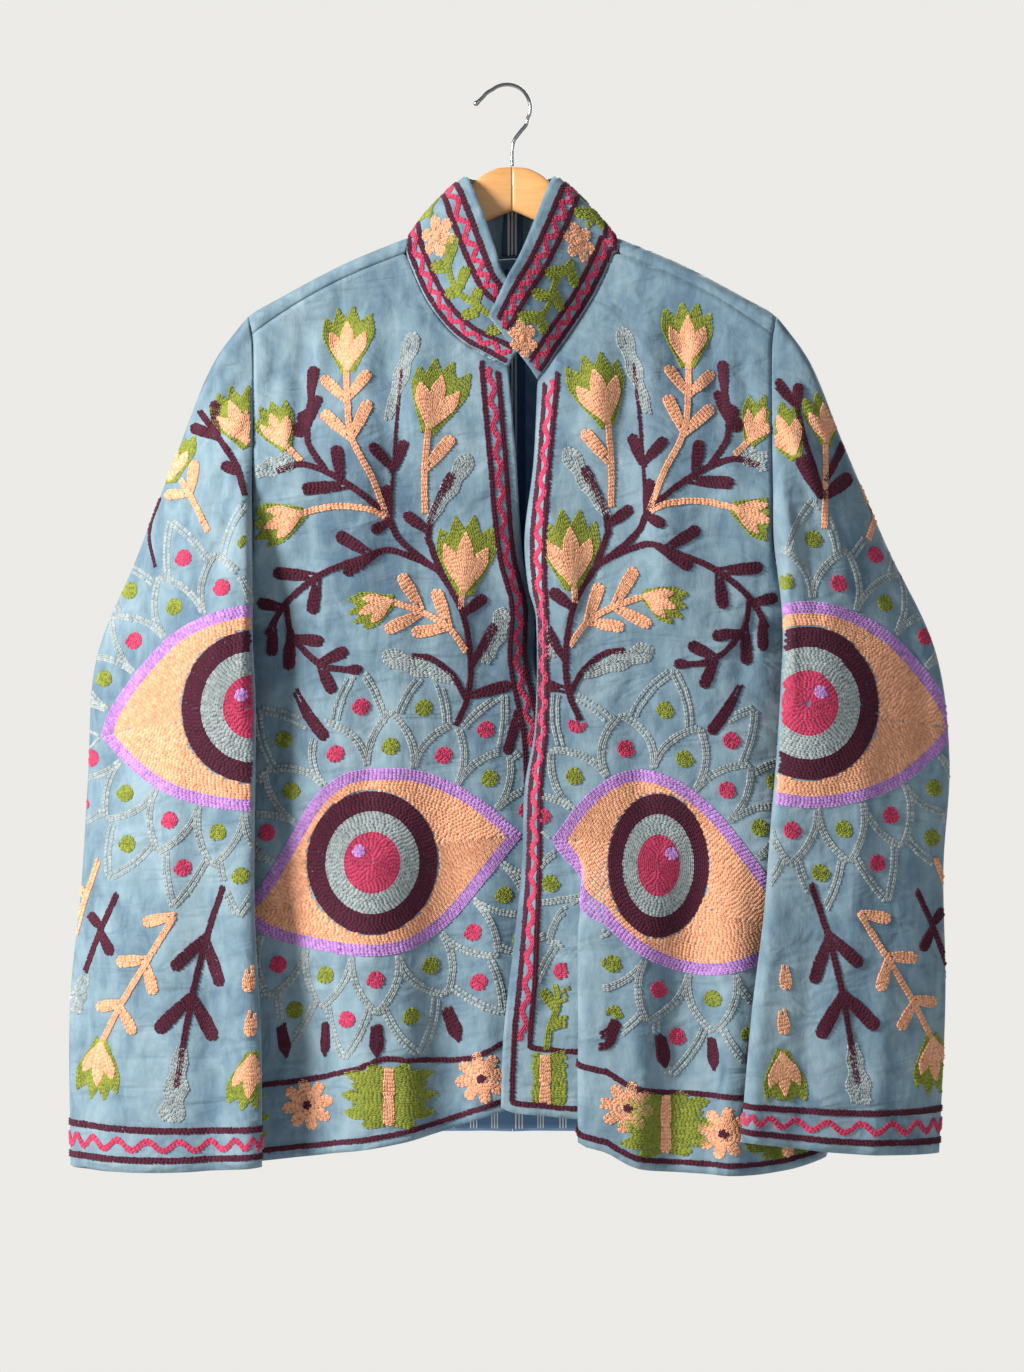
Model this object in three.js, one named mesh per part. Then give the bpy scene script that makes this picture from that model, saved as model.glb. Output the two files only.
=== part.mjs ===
import * as THREE from 'three';

// A velvet suzani jacket on a wooden hanger. Millimetres, +Z up, the front faces -Y.
// The origin is the underside of the hook's crown, where the hanger hangs.
// "down" is measured below the origin and "off" sideways from the jacket's centre line.
// Side 1 is the wearer's left, which is on the viewer's right, and side -1 the other.

const centreX = 4;
const velvetWall = 2;
const collarWall = 2.8;
const seamGap = 0.3;
const trimShare = 0.7;
const sleeveTrim = 2;
const ridgeRadius = 10;
const armSweep = 0.11;
const sweepRun = 220;
const chestRun = 150;
const backRun = 120;
const underarmDown = 406;
const armholeRoundStart = 300;
const sideHemDown = 800;
const neckOff = 79;
const placketWidth = 20;
const foldLineDown = 350;
const liftFade = 75;

// The shoulder ridge, which the hanger holds up from inside.
const ridgeLine = [
  { off: 0, down: 100 },
  { off: 60, down: 109 },
  { off: 80, down: 115.5 },
  { off: 117, down: 131 },
  { off: 141, down: 143 },
  { off: 175, down: 162 },
  { off: 198, down: 175 },
  { off: 214, down: 186 },
];

// How far the shoulder seam lies in front of the ridge, measured down the front.
const seamLine = [
  { off: 79, drop: 12 },
  { off: 150, drop: 12 },
  { off: 175, drop: 14 },
  { off: 193, drop: 17 },
];

// The armhole above the underarm, and the side seam below it.
const sideLine = [
  { down: 172, off: 197 },
  { down: 190, off: 193 },
  { down: 215, off: 192 },
  { down: 300, off: 191 },
  { down: 350, off: 193 },
  { down: 385, off: 204 },
  { down: 406, off: 219 },
  { down: 470, off: 225 },
  { down: 600, off: 232 },
  { down: 800, off: 238 },
];

// Distance from the middle sheet to the front and to the back.
const bodyDepth = [
  { down: 100, front: 44, back: 24 },
  { down: 200, front: 48, back: 25 },
  { down: 400, front: 52, back: 26 },
  { down: 600, front: 60, back: 28 },
  { down: 800, front: 62, back: 31 },
];

// Each front: its neckline, its free edge (off falls below 0 past the centre line), how far
// the placket is turned in and stands off the rest, its hem, and its soft folds, from a top to
// a bottom point.
const fronts = {
  '-1': {
    name: 'front_right',
    neck: [
      { off: 3, down: 214 },
      { off: 22, down: 203 },
      { off: 35, down: 196 },
      { off: 52, down: 180 },
      { off: 66, down: 159 },
      { off: 77, down: 134 },
      { off: 79, down: 127.5 },
    ],
    edge: [
      { down: 214, off: 3, turn: 0, lift: -5 },
      { down: 285, off: -3, turn: 10, lift: -6 },
      { down: 355, off: -8, turn: 30, lift: -10 },
      { down: 391, off: -16, turn: 34, lift: -16 },
      { down: 432, off: -17, turn: 20, lift: -24 },
      { down: 486, off: -28, turn: 0, lift: -26 },
      { down: 560, off: -31, turn: 0, lift: -25 },
      { down: 700, off: -40, turn: 0, lift: -14 },
      { down: 762, off: -46, turn: 0, lift: -12 },
    ],
    hem: [
      { off: -46, down: 762 },
      { off: -10, down: 760 },
      { off: 8, down: 763 },
      { off: 54, down: 778 },
      { off: 106, down: 789 },
      { off: 181, down: 799 },
      { off: 238, down: 800 },
    ],
    folds: [
      { top: 180, topOff: 160, bottom: 262, bottomOff: 170, width: 10, rise: -4 },
      { top: 215, topOff: 120, bottom: 420, bottomOff: 138, width: 26, rise: 5 },
      { top: 420, topOff: 60, bottom: 800, bottomOff: 44, width: 24, rise: -8 },
      { top: 520, topOff: 110, bottom: 800, bottomOff: 100, width: 30, rise: 8 },
      { top: 560, topOff: 165, bottom: 800, bottomOff: 158, width: 24, rise: -8 },
    ],
  },
  '1': {
    name: 'front_left',
    neck: [
      { off: 18.5, down: 224 },
      { off: 25, down: 218 },
      { off: 35, down: 207 },
      { off: 50, down: 185 },
      { off: 65, down: 159 },
      { off: 76, down: 136 },
      { off: 79, down: 127.5 },
    ],
    edge: [
      { down: 224, off: 18.5, turn: 42, lift: 7 },
      { down: 285, off: 15.5, turn: 54, lift: 7 },
      { down: 340, off: 9, turn: 42, lift: 7 },
      { down: 376, off: 11.5, turn: 52, lift: 8 },
      { down: 400, off: 17.5, turn: 68, lift: 8 },
      { down: 480, off: 16.5, turn: 66, lift: 8 },
      { down: 524, off: 9, turn: 54, lift: 7 },
      { down: 580, off: 7, turn: 50, lift: 7 },
      { down: 640, off: 1, turn: 32, lift: 7 },
      { down: 700, off: -6, turn: 0, lift: 6 },
      { down: 760, off: -8.5, turn: 0, lift: 6 },
    ],
    hem: [
      { off: -8.5, down: 758 },
      { off: 0, down: 762 },
      { off: 46, down: 769 },
      { off: 62, down: 785 },
      { off: 92, down: 802 },
      { off: 138, down: 807 },
      { off: 192, down: 808 },
      { off: 238, down: 800 },
    ],
    folds: [
      { top: 200, topOff: 150, bottom: 300, bottomOff: 172, width: 12, rise: -4 },
      { top: 230, topOff: 110, bottom: 430, bottomOff: 124, width: 26, rise: 5 },
      { top: 470, topOff: 140, bottom: 800, bottomOff: 118, width: 22, rise: -9 },
      { top: 540, topOff: 172, bottom: 800, bottomOff: 160, width: 22, rise: 8 },
    ],
  },
};

// The deep fold of the wearer's left front, where the main part laps over the centre strip.
const lap = { off: 52, width: 17, shift: 12, rise: 13, top: 545, full: 640, fade: 110 };

const backHem = [
  { off: 0, down: 788 },
  { off: 90, down: 789 },
  { off: 160, down: 793 },
  { off: 238, down: 800 },
];

// The back neckline, wrapping over the ridge to the shoulder seam; "reach" is measured over
// the ridge, ahead of it where negative.
const backNeck = [
  { share: 0, off: 0, reach: 34 },
  { share: 0.1, off: 25, reach: 32 },
  { share: 0.2, off: 48, reach: 26 },
  { share: 0.3, off: 70, reach: 12 },
  { share: 0.36, off: 77.5, reach: -3 },
  { share: 0.4, off: 79, reach: -17.7 },
];

const backFolds = [
  { top: 240, topOff: 60, bottom: 800, bottomOff: 48, width: 34, rise: 5 },
  { top: 330, topOff: 120, bottom: 800, bottomOff: 116, width: 30, rise: -5 },
  { top: 450, topOff: 175, bottom: 800, bottomOff: 172, width: 26, rise: 6 },
];

// Sleeve sections from the armhole to the cuff: the outer end and the inner fold edge of each,
// and how far its front and back faces stand off the line between them.
const sleeves = {
  '-1': {
    name: 'sleeve_right',
    sections: [
      { at: 0, outOff: 197, outDown: 175, outY: -21, inOff: 193, inDown: 350, inY: -46, front: 14, back: 40 },
      { at: 0.1, outOff: 224, outDown: 213, outY: -21, inOff: 191, inDown: 388, inY: -56, front: 24, back: 40 },
      { at: 0.22, outOff: 249, outDown: 275, outY: -19, inOff: 190, inDown: 420, inY: -63, front: 24, back: 32 },
      { at: 0.36, outOff: 280, outDown: 355, outY: -18, inOff: 188, inDown: 457, inY: -67, front: 21.5, back: 22.5 },
      { at: 0.5, outOff: 310, outDown: 432, outY: -20, inOff: 187.5, inDown: 504, inY: -70, front: 20, back: 15 },
      { at: 0.63, outOff: 315.5, outDown: 520, outY: -24, inOff: 188, inDown: 560, inY: -73, front: 19, back: 12 },
      { at: 0.75, outOff: 320, outDown: 600, outY: -28, inOff: 187.5, inDown: 622, inY: -75, front: 18, back: 11 },
      { at: 0.87, outOff: 328, outDown: 690, outY: -32, inOff: 183, inDown: 702, inY: -78, front: 17, back: 12.5 },
      { at: 1, outOff: 327, outDown: 805, outY: -35, inOff: 182, inDown: 799.5, inY: -80, front: 16, back: 13.5 },
    ],
    folds: [
      { from: 0.02, to: 0.3, around: 0.2, width: 0.06, rise: -5 },
      { from: 0.15, to: 0.62, around: 0.3, width: 0.08, rise: 4.4 },
      { from: 0.45, to: 1, around: 0.34, width: 0.07, rise: -5 },
      { from: 0.6, to: 1, around: 0.16, width: 0.07, rise: 4 },
      { from: 0.3, to: 1, around: 0.72, width: 0.08, rise: 4 },
    ],
  },
  '1': {
    name: 'sleeve_left',
    sections: [
      { at: 0, outOff: 198, outDown: 174, outY: -21, inOff: 193, inDown: 350, inY: -46, front: 14, back: 40 },
      { at: 0.1, outOff: 223, outDown: 210, outY: -21, inOff: 197, inDown: 386, inY: -56, front: 24, back: 40 },
      { at: 0.22, outOff: 246, outDown: 268, outY: -19, inOff: 198, inDown: 418, inY: -63, front: 24, back: 32 },
      { at: 0.36, outOff: 279, outDown: 346, outY: -18, inOff: 196, inDown: 455, inY: -67, front: 22, back: 22 },
      { at: 0.5, outOff: 315, outDown: 424, outY: -20, inOff: 193, inDown: 500, inY: -70, front: 20, back: 15 },
      { at: 0.63, outOff: 325, outDown: 505, outY: -24, inOff: 188, inDown: 556, inY: -73, front: 19, back: 12 },
      { at: 0.75, outOff: 320, outDown: 586, outY: -28, inOff: 183, inDown: 618, inY: -75, front: 18, back: 11 },
      { at: 0.87, outOff: 321, outDown: 680, outY: -32, inOff: 174, inDown: 690, inY: -78, front: 17, back: 12 },
      { at: 1, outOff: 316, outDown: 795, outY: -35, inOff: 166, inDown: 781, inY: -80, front: 16, back: 13 },
    ],
    folds: [
      { from: 0.02, to: 0.34, around: 0.24, width: 0.06, rise: -5 },
      { from: 0.2, to: 0.66, around: 0.3, width: 0.08, rise: 5 },
      { from: 0.5, to: 1, around: 0.36, width: 0.07, rise: -5 },
      { from: 0.62, to: 1, around: 0.14, width: 0.07, rise: 4 },
      { from: 0.3, to: 1, around: 0.72, width: 0.08, rise: 4 },
    ],
  },
};
const cuffDip = 3;
const bodyClear = 9;
const underarmLean = { out: 1.6, run: 70 };
const underarmEase = { run: 40, out: 0.9, down: 0.9 };
const armholeBlend = 0.3;
const sectionRound = 0.8;
const foldEase = { grown: 0.5, fades: 0.6 };
const placketCurl = 1.4;
const leastSeamNormal = 0.2;

// The collar's free upper edge, by the share of the neck seam below it.
const collarTop = [
  { share: 0, x: 31, y: -25, z: -163 },
  { share: 0.1, x: 1, y: -34, z: -148 },
  { share: 0.2, x: -10, y: -31, z: -121 },
  { share: 0.25, x: -19, y: -24, z: -94 },
  { share: 0.29, x: -28, y: -15, z: -72 },
  { share: 0.33, x: -32, y: -3, z: -68 },
  { share: 0.4, x: -22, y: 10, z: -69 },
  { share: 0.495, x: 4, y: 16, z: -72 },
  { share: 0.59, x: 28, y: 10, z: -69 },
  { share: 0.66, x: 38, y: -3, z: -67.5 },
  { share: 0.71, x: 33, y: -15, z: -72 },
  { share: 0.78, x: 23, y: -31, z: -98 },
  { share: 0.85, x: 10, y: -43, z: -130 },
  { share: 0.92, x: 0, y: -51, z: -149 },
  { share: 1, x: -13, y: -57, z: -178 },
];
const collarCrown = 4;

const frontFacing = { columns: 5, wall: 1.2 };
const facingEdge = [
  { down: 224, proud: 4.2 },
  { down: 270, proud: 3.4 },
  { down: 300, proud: 0.2 },
  { down: 340, proud: -1.5 },
  { down: 760, proud: -2 },
];
const backTape = { width: 10, wall: 0.8, from: 137, to: 738 };
const hemFacing = { columns: 13, wall: 0.8, up: 0.04, second: 0.6 };
const hangerLoop = { down: 141, halfWidth: 7, halfHeight: 5, strand: 1.6, slack: 0.1 };

// Half of the wooden hanger: top and bottom edges, and how much of its thickness is left.
const woodLine = [
  { off: 0, top: 60, bottom: 94, thick: 1 },
  { off: 14, top: 62, bottom: 100, thick: 1 },
  { off: 30, top: 73, bottom: 108, thick: 1 },
  { off: 50, top: 101, bottom: 128, thick: 1 },
  { off: 64, top: 115, bottom: 139, thick: 1 },
  { off: 78, top: 121.5, bottom: 146, thick: 1 },
  { off: 95, top: 125.3, bottom: 151, thick: 1 },
  { off: 117, top: 134.3, bottom: 159, thick: 1 },
  { off: 141, top: 146.3, bottom: 169, thick: 1 },
  { off: 175, top: 165.3, bottom: 185, thick: 1 },
  { off: 192, top: 175, bottom: 192, thick: 0.95 },
  { off: 199, top: 181.5, bottom: 190, thick: 0.6 },
];
const woodHalfThickness = 5.2;
const woodEdgeRound = 8;
// Half of a wood section, from its top to its bottom, as shares of its half thickness and height.
const woodProfile = [[0, 1], [0.62, 0.94], [1, 0.74], [1, 0], [1, -0.74], [0.62, -0.94], [0, -1]];
const hookWire = 1.4;
const hookRadius = 17.6;
const hookArc = { from: 128, to: -30, steps: 14 };
const hookTip = [
  { x: -24.6, z: -14.2, radius: 1 },
  { x: -23.4, z: -13, radius: 2 },
  { x: -22.4, z: -12.2, radius: 2 },
  { x: -18.6, z: -8.6, radius: hookWire },
  { x: -15, z: -4.8, radius: hookWire },
];
const hookStem = [
  { x: 14.6, z: -28.4 },
  { x: 9.6, z: -34.6 },
  { x: 5.6, z: -40.4 },
  { x: centreX, z: -47 },
  { x: centreX, z: seamGap - woodLine[0].top },
];
const tubeSides = { hook: 10, loop: 8, loopAround: 20 };

const colours = {
  velvet: 0x96b4c8,
  lining: 0x5c7fa3,
  tape: 0x1e2a44,
  wood: 0xe8b06c,
  steel: 0xc8ccd0,
};

function mix(a, b, share) {
  return a + (b - a) * share;
}

function clamp01(value) {
  return Math.min(1, Math.max(0, value));
}

function ease(value) {
  const t = clamp01(value);
  return t * t * (3 - 2 * t);
}

// Reads one column of a table between its rows, on a smooth curve through them.
function read(table, place, column, x) {
  const last = table.length - 1;
  if (x <= table[0][place]) return table[0][column];
  if (x >= table[last][place]) return table[last][column];
  let i = 0;
  while (x > table[i + 1][place]) i += 1;
  const slope = (a, b) => (table[b][column] - table[a][column]) / (table[b][place] - table[a][place]);
  const span = table[i + 1][place] - table[i][place];
  const t = (x - table[i][place]) / span;
  const before = i > 0 ? slope(i - 1, i + 1) : slope(i, i + 1);
  const after = i < last - 1 ? slope(i, i + 2) : slope(i, i + 1);
  const start = table[i][column] * (1 - t) ** 2 * (1 + 2 * t);
  const end = table[i + 1][column] * t ** 2 * (3 - 2 * t);
  return start + end + span * t * (1 - t) * (before * (1 - t) - after * t);
}

// The rise of a set of folds at one place: each is a rounded ridge or trough along a line
// that starts softly at its top and keeps its height to its bottom.
function foldRise(folds, off, down) {
  let rise = 0;
  for (const fold of folds) {
    const way = (down - fold.top) / (fold.bottom - fold.top);
    if (way <= 0) continue;
    const line = mix(fold.topOff, fold.bottomOff, way);
    const fadeOut = fold.bottom < sideHemDown ? 1 - ease((way - foldEase.fades) / (1 - foldEase.fades)) : 1;
    const bump = Math.exp(-(((off - line) / fold.width) ** 2));
    rise += fold.rise * bump * ease(way / foldEase.grown) * fadeOut;
  }
  return rise;
}

function ridgeDown(off) {
  return read(ridgeLine, 'off', 'down', Math.abs(off));
}

function sideOff(down) {
  return read(sideLine, 'down', 'off', down);
}

// The middle sheet leans forward with the hanger's arms near the ridge.
function middleY(off, down) {
  return -armSweep * Math.abs(off) * (1 - ease((down - ridgeDown(off)) / sweepRun));
}

// How much of the depth is left towards the side: all of it at the top of the armhole, and
// none at the underarm and side seam.
function sideShare(off, down) {
  const way = clamp01((down - armholeRoundStart) / (underarmDown - armholeRoundStart));
  const atEdge = Math.sqrt(1 - way * way);
  const toEdge = Math.min(1, Math.abs(off) / sideOff(down));
  return atEdge + (1 - atEdge) * Math.sqrt(Math.max(0, 1 - toEdge ** 5));
}

// Depth of the front or back below the ridge: a round ridge first, then out to full depth.
function depthAt(column, run, off, down) {
  const drop = Math.max(0, down - ridgeDown(off));
  const top = Math.min(1, drop / ridgeRadius);
  const round = ridgeRadius * Math.sqrt(1 - (1 - top) ** 2);
  const full = read(bodyDepth, 'down', column, down) - ridgeRadius;
  return (round + full * ease((drop - ridgeRadius) / run)) * sideShare(off, down);
}

function awayFromSide(off, down) {
  return 1 - Math.min(1, Math.abs(off) / sideOff(down)) ** 6;
}

function frontPoint(side, off, down) {
  const front = fronts[side];
  let depth = depthAt('front', chestRun, off, down);
  depth += foldRise(front.folds, off, down) * awayFromSide(off, down);
  const fromEdge = off - read(front.edge, 'down', 'off', down);
  const lift = read(front.edge, 'down', 'lift', down);
  depth += lift * Math.exp(-((fromEdge / liftFade) ** 2)) * ease((down - 130) / 100);
  let across = off;
  if (side > 0) {
    const grown = ease((down - lap.top) / (lap.full - lap.top));
    const place = (off - lap.off) / lap.width;
    const away = Math.exp(-((Math.max(0, off - lap.off) / lap.fade) ** 2));
    depth += grown * lap.rise * ease((place + 1) / 2) * away * awayFromSide(off, down);
    if (Math.abs(place) < 1) across -= grown * lap.shift * Math.sin(Math.PI * place);
  }
  return new THREE.Vector3(centreX + side * across, middleY(off, down) - depth, -down);
}

function backPoint(side, off, down) {
  const depth = depthAt('back', backRun, off, down);
  const rise = foldRise(backFolds, off, down) * awayFromSide(off, down);
  return new THREE.Vector3(centreX + side * off, middleY(off, down) + depth + rise, -down);
}

// Turns a reach over the ridge into a drop below it.
function dropOfReach(reach) {
  const arc = Math.abs(reach) / ridgeRadius;
  if (arc < Math.PI / 2) return ridgeRadius * (1 - Math.cos(arc));
  return ridgeRadius + Math.abs(reach) - (ridgeRadius * Math.PI) / 2;
}

function reachOfDrop(drop) {
  return drop - ridgeRadius + (ridgeRadius * Math.PI) / 2;
}

// Where a front's columns lie: share 0 to 0.4 under the collar, then under the shoulder seam.
const neckShare = 0.4;
const armTop = seamEnd();
const frontColumns = [0, 0.04, 0.08, 0.12, 0.155, 0.19, 0.21, 0.23, 0.25, 0.27, 0.3, 0.35];
const shoulderColumns = [0.4, 0.47, 0.54, 0.61, 0.68, 0.75, 0.82, 0.88, 0.94, 0.97, 1];
const backColumns = [0, 0.1, 0.2, 0.27, 0.32, 0.36];
const armRows = [0, 0.06, 0.16, 0.3, 0.44, 0.58, 0.7, 0.8, 0.88, 0.95, 1];
const bodyRows = [0.06, 0.13, 0.21, 0.29, 0.37, 0.45, 0.53, 0.61, 0.69, 0.77, 0.85, 0.93, 1];
const ridgeReaches = [1, 0.68, 0.34, 0, -0.4, -0.8];

// The point where shoulder seam and armhole meet.
function seamEnd() {
  let off = 193;
  let down = 190;
  for (let i = 0; i < 8; i += 1) {
    down = ridgeDown(off) + read(seamLine, 'off', 'drop', off);
    off = sideOff(down);
  }
  return { off, down };
}

// The depth below the origin of each row where it meets the armhole or the side seam.
function rowDowns() {
  const arm = armRows.map((share) => mix(armTop.down, underarmDown, share));
  const body = bodyRows.map((share) => mix(underarmDown, sideHemDown, share));
  return arm.concat(body);
}

function shoulderOff(share) {
  return mix(neckOff, armTop.off, (share - neckShare) / (1 - neckShare));
}

// One point of a front. The share runs from the free edge to the side, the row from the top
// edge to the hem; the placket at the free edge is turned in by its own angle.
function frontSurface(side, share, row) {
  const { neck, edge, hem } = fronts[side];
  const neckStart = neck[0].off;
  const hemStart = hem[0].off;
  const topOff = share < neckShare ? mix(neckStart, neckOff, share / neckShare) : shoulderOff(share);
  const seamDrop = read(seamLine, 'off', 'drop', topOff);
  const topDown = share < neckShare ? read(neck, 'off', 'down', topOff) : ridgeDown(topOff) + seamDrop;
  const hemOff = mix(hemStart, sideLine[sideLine.length - 1].off, share);
  const down = mix(topDown, read(hem, 'off', 'down', hemOff), row);
  const edgeDown = mix(neck[0].down, hem[0].down, row);
  const edgeOff = read(edge, 'down', 'off', edgeDown);
  const turn = THREE.MathUtils.degToRad(read(edge, 'down', 'turn', edgeDown));
  const sideDown = mix(armTop.down, sideHemDown, row);
  const topShare = (topOff - neckStart) / (armTop.off - neckStart);
  const across = mix(topShare, share, row);
  const lineOff = edgeOff + placketWidth * Math.cos(turn);
  const placketShare = placketWidth / (sideOff(sideDown) - edgeOff);
  if (across >= placketShare) {
    const beyond = (across - placketShare) / (1 - placketShare);
    return frontPoint(side, mix(lineOff, sideOff(sideDown), beyond), down);
  }
  const inward = 1 - across / placketShare;
  const point = frontPoint(side, mix(lineOff, edgeOff, inward), down);
  point.y += placketWidth * Math.sin(turn) * inward ** placketCurl;
  return point;
}

// One point of a back half, from the centre back to the side and from the neck to the hem.
function backSurface(side, share, row) {
  const atNeck = share < neckShare;
  const topOff = atNeck ? read(backNeck, 'share', 'off', share) : shoulderOff(share);
  const seamReach = -reachOfDrop(read(seamLine, 'off', 'drop', topOff));
  const topReach = atNeck ? read(backNeck, 'share', 'reach', share) : seamReach;
  const hemOff = mix(0, sideLine[sideLine.length - 1].off, share);
  const hemReach = reachOfDrop(read(backHem, 'off', 'down', hemOff) - ridgeDown(hemOff));
  const reach = mix(topReach, hemReach, row);
  const sideEnd = reachOfDrop(sideHemDown - ridgeDown(sideOff(sideHemDown)));
  const sideReach = mix(-reachOfDrop(armTop.down - ridgeDown(armTop.off)), sideEnd, row);
  let edgeOff = armTop.off;
  for (let i = 0; i < 4; i += 1) edgeOff = sideOff(ridgeDown(edgeOff) + dropOfReach(sideReach));
  const across = mix(topOff / armTop.off, share, row);
  const off = edgeOff * across;
  const down = ridgeDown(off) + dropOfReach(reach);
  return reach < 0 ? frontPoint(side, off, down) : backPoint(side, off, down);
}

// The share of a back's height at which its side edge is a given distance down.
function backRowOf(down) {
  const start = -reachOfDrop(armTop.down - ridgeDown(armTop.off));
  const end = reachOfDrop(sideHemDown - ridgeDown(sideOff(sideHemDown)));
  const here = reachOfDrop(down - ridgeDown(sideOff(down)));
  return (here - start) / (end - start);
}

function gridOf(columns, rows, point) {
  return rows.map((row) => columns.map((share) => point(share, row)));
}

function frontGrid(side) {
  const rows = rowDowns().map((down) => (down - armTop.down) / (sideHemDown - armTop.down));
  return gridOf(frontColumns.concat(shoulderColumns), rows, (u, v) => frontSurface(side, u, v));
}

// A back has the front's rows below its ridge, and its own few over the ridge.
function backGrid(side) {
  const start = reachOfDrop(armTop.down - ridgeDown(armTop.off));
  const end = reachOfDrop(sideHemDown - ridgeDown(sideOff(sideHemDown)));
  const over = ridgeReaches.map((share) => (1 - share) * start / (start + end));
  const below = rowDowns().slice(2).map(backRowOf);
  return gridOf(backColumns.concat(shoulderColumns), over.concat(below), (u, v) => backSurface(side, u, v));
}

const frontGrids = { '-1': frontGrid(-1), '1': frontGrid(1) };
const backGrids = { '-1': backGrid(-1), '1': backGrid(1) };

function edgeColumn(grid, from, to) {
  return grid.slice(from, to).map((row) => row[row.length - 1]);
}

// The armhole's points, from its top over the front to the fold line, then on round under
// the arm and up the back.
function armhole(side) {
  const overRows = ridgeReaches.length;
  const up = edgeColumn(backGrids[side], 0, 4).reverse();
  const front = edgeColumn(frontGrids[side], 1, armRows.length);
  const back = edgeColumn(backGrids[side], 4, overRows + armRows.length - 3).reverse();
  return up.concat(front, back).map((point) => {
    const low = ease((-point.z - foldLineDown) / underarmEase.run);
    return point.clone().add(new THREE.Vector3(side * underarmEase.out * low, 0, -underarmEase.down * low));
  });
}

// A sleeve section's point: an angle of 0 is the outer end, pi the inner fold edge.
function sectionPoint(side, angle, at) {
  const value = (column) => read(sleeves[side].sections, 'at', column, at);
  const lean = (1 + Math.cos(angle)) / 2;
  const off = mix(value('inOff'), value('outOff'), lean);
  const down = mix(value('inDown'), value('outDown'), lean) + cuffDip * at * Math.sin(Math.PI * lean);
  const stand = Math.abs(Math.sin(angle)) ** sectionRound;
  const face = angle < Math.PI ? -value('front') : value('back');
  let rise = 0;
  for (const fold of sleeves[side].folds) {
    const place = (angle / (2 * Math.PI) - fold.around) / fold.width;
    const way = clamp01((at - fold.from) / (fold.to - fold.from));
    const fade = fold.to < 1 ? Math.sin(Math.PI * way) : ease(way * 2);
    rise += fold.rise * Math.exp(-(place ** 2)) * fade;
  }
  const y = mix(value('inY'), value('outY'), lean) + (face + Math.sign(face) * rise) * stand;
  return new THREE.Vector3(centreX + side * off, y, -down);
}

// Moves a sleeve point that would lie in the body to just in front of it or beside it.
function clearOfBody(side, point) {
  const off = side * (point.x - centreX);
  const down = -point.z;
  const edge = sideOff(down) + underarmLean.out * ease((down - foldLineDown) / underarmLean.run);
  if (down < foldLineDown || off > edge + bodyClear) return point;
  const forward = point.y - (frontPoint(side, Math.min(off, edge), down).y - bodyClear);
  const outward = edge + bodyClear - off;
  if (forward <= 0) return point;
  if (forward < outward) return point.setY(point.y - forward);
  return point.setX(point.x + side * outward);
}

const sleeveRows = [0, 0.035, 0.075, 0.12, 0.17, 0.22, 0.29, 0.35, 0.42, 0.48, 0.56, 0.64, 0.72, 0.8, 0.87, 0.94, 1];

// A sleeve: its sections start from the armhole itself and leave it over the first stretch.
function sleeveGrid(side) {
  const loop = armhole(side);
  const count = loop.length;
  const foldIndex = loop.reduce((best, p, i) => {
    const nearer = Math.abs(p.z + foldLineDown) < Math.abs(loop[best].z + foldLineDown);
    return i < count / 2 && nearer ? i : best;
  }, 0);
  const lengths = [0];
  for (let i = 1; i <= count; i += 1) lengths.push(lengths[i - 1] + loop[i % count].distanceTo(loop[i - 1]));
  const angles = loop.map((p, i) => {
    if (i <= foldIndex) return (Math.PI * lengths[i]) / lengths[foldIndex];
    return Math.PI * (1 + (lengths[i] - lengths[foldIndex]) / (lengths[count] - lengths[foldIndex]));
  });
  return sleeveRows.map((at) => loop.map((p, i) => {
    const point = sectionPoint(side, angles[i], at);
    const held = 1 - ease(at / armholeBlend);
    point.addScaledVector(p.clone().sub(sectionPoint(side, angles[i], 0)), held);
    return at > 0 ? clearOfBody(side, point) : point;
  }));
}

// The neck seam, from the wearer's right front round the back to the left front.
function neckSeam() {
  const frontCount = frontColumns.length + 1;
  const backCount = backColumns.length;
  const right = frontGrids[-1][0].slice(0, frontCount);
  const rightBack = backGrids[-1][0].slice(0, backCount).reverse();
  const leftBack = backGrids[1][0].slice(1, backCount);
  const left = frontGrids[1][0].slice(0, frontCount).reverse();
  return right.concat(rightBack, leftBack, left);
}

const collarRows = [1, 0.75, 0.5, 0.25, 0];

// The collar, from its free edge down to the neck seam, crowned a little across its width.
function collarGrid() {
  const seam = neckSeam();
  const lengths = [0];
  for (let i = 1; i < seam.length; i += 1) lengths.push(lengths[i - 1] + seam[i].distanceTo(seam[i - 1]));
  const total = lengths[lengths.length - 1];
  return collarRows.map((rise) => seam.map((low, i) => {
    const value = (column) => read(collarTop, 'share', column, lengths[i] / total);
    const point = low.clone().lerp(new THREE.Vector3(value('x'), value('y'), value('z')), rise);
    const out = new THREE.Vector3(point.x - centreX, point.y, 0).normalize();
    return point.addScaledVector(out, collarCrown * 4 * rise * (1 - rise));
  }));
}

// Outward normals of a grid; "wraps" joins its last column to its first.
function gridNormals({ grid, wraps, outFrom }) {
  const rows = grid.length;
  const columns = grid[0].length;
  const normals = grid.map((line, j) => line.map((_, i) => {
    const left = wraps ? line[(i + columns - 1) % columns] : line[Math.max(0, i - 1)];
    const right = wraps ? line[(i + 1) % columns] : line[Math.min(columns - 1, i + 1)];
    const above = grid[Math.max(0, j - 1)][i];
    const below = grid[Math.min(rows - 1, j + 1)][i];
    return right.clone().sub(left).cross(above.clone().sub(below)).normalize();
  }));
  let outward = 0;
  grid.forEach((line, j) => {
    const inside = outFrom(line);
    line.forEach((point, i) => { outward += normals[j][i].dot(point.clone().sub(inside)); });
  });
  if (outward < 0) normals.flat().forEach((normal) => normal.negate());
  return normals;
}

function middleOf(line) {
  const sum = line.reduce((total, point) => total.add(point), new THREE.Vector3());
  return sum.divideScalar(line.length);
}

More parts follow.
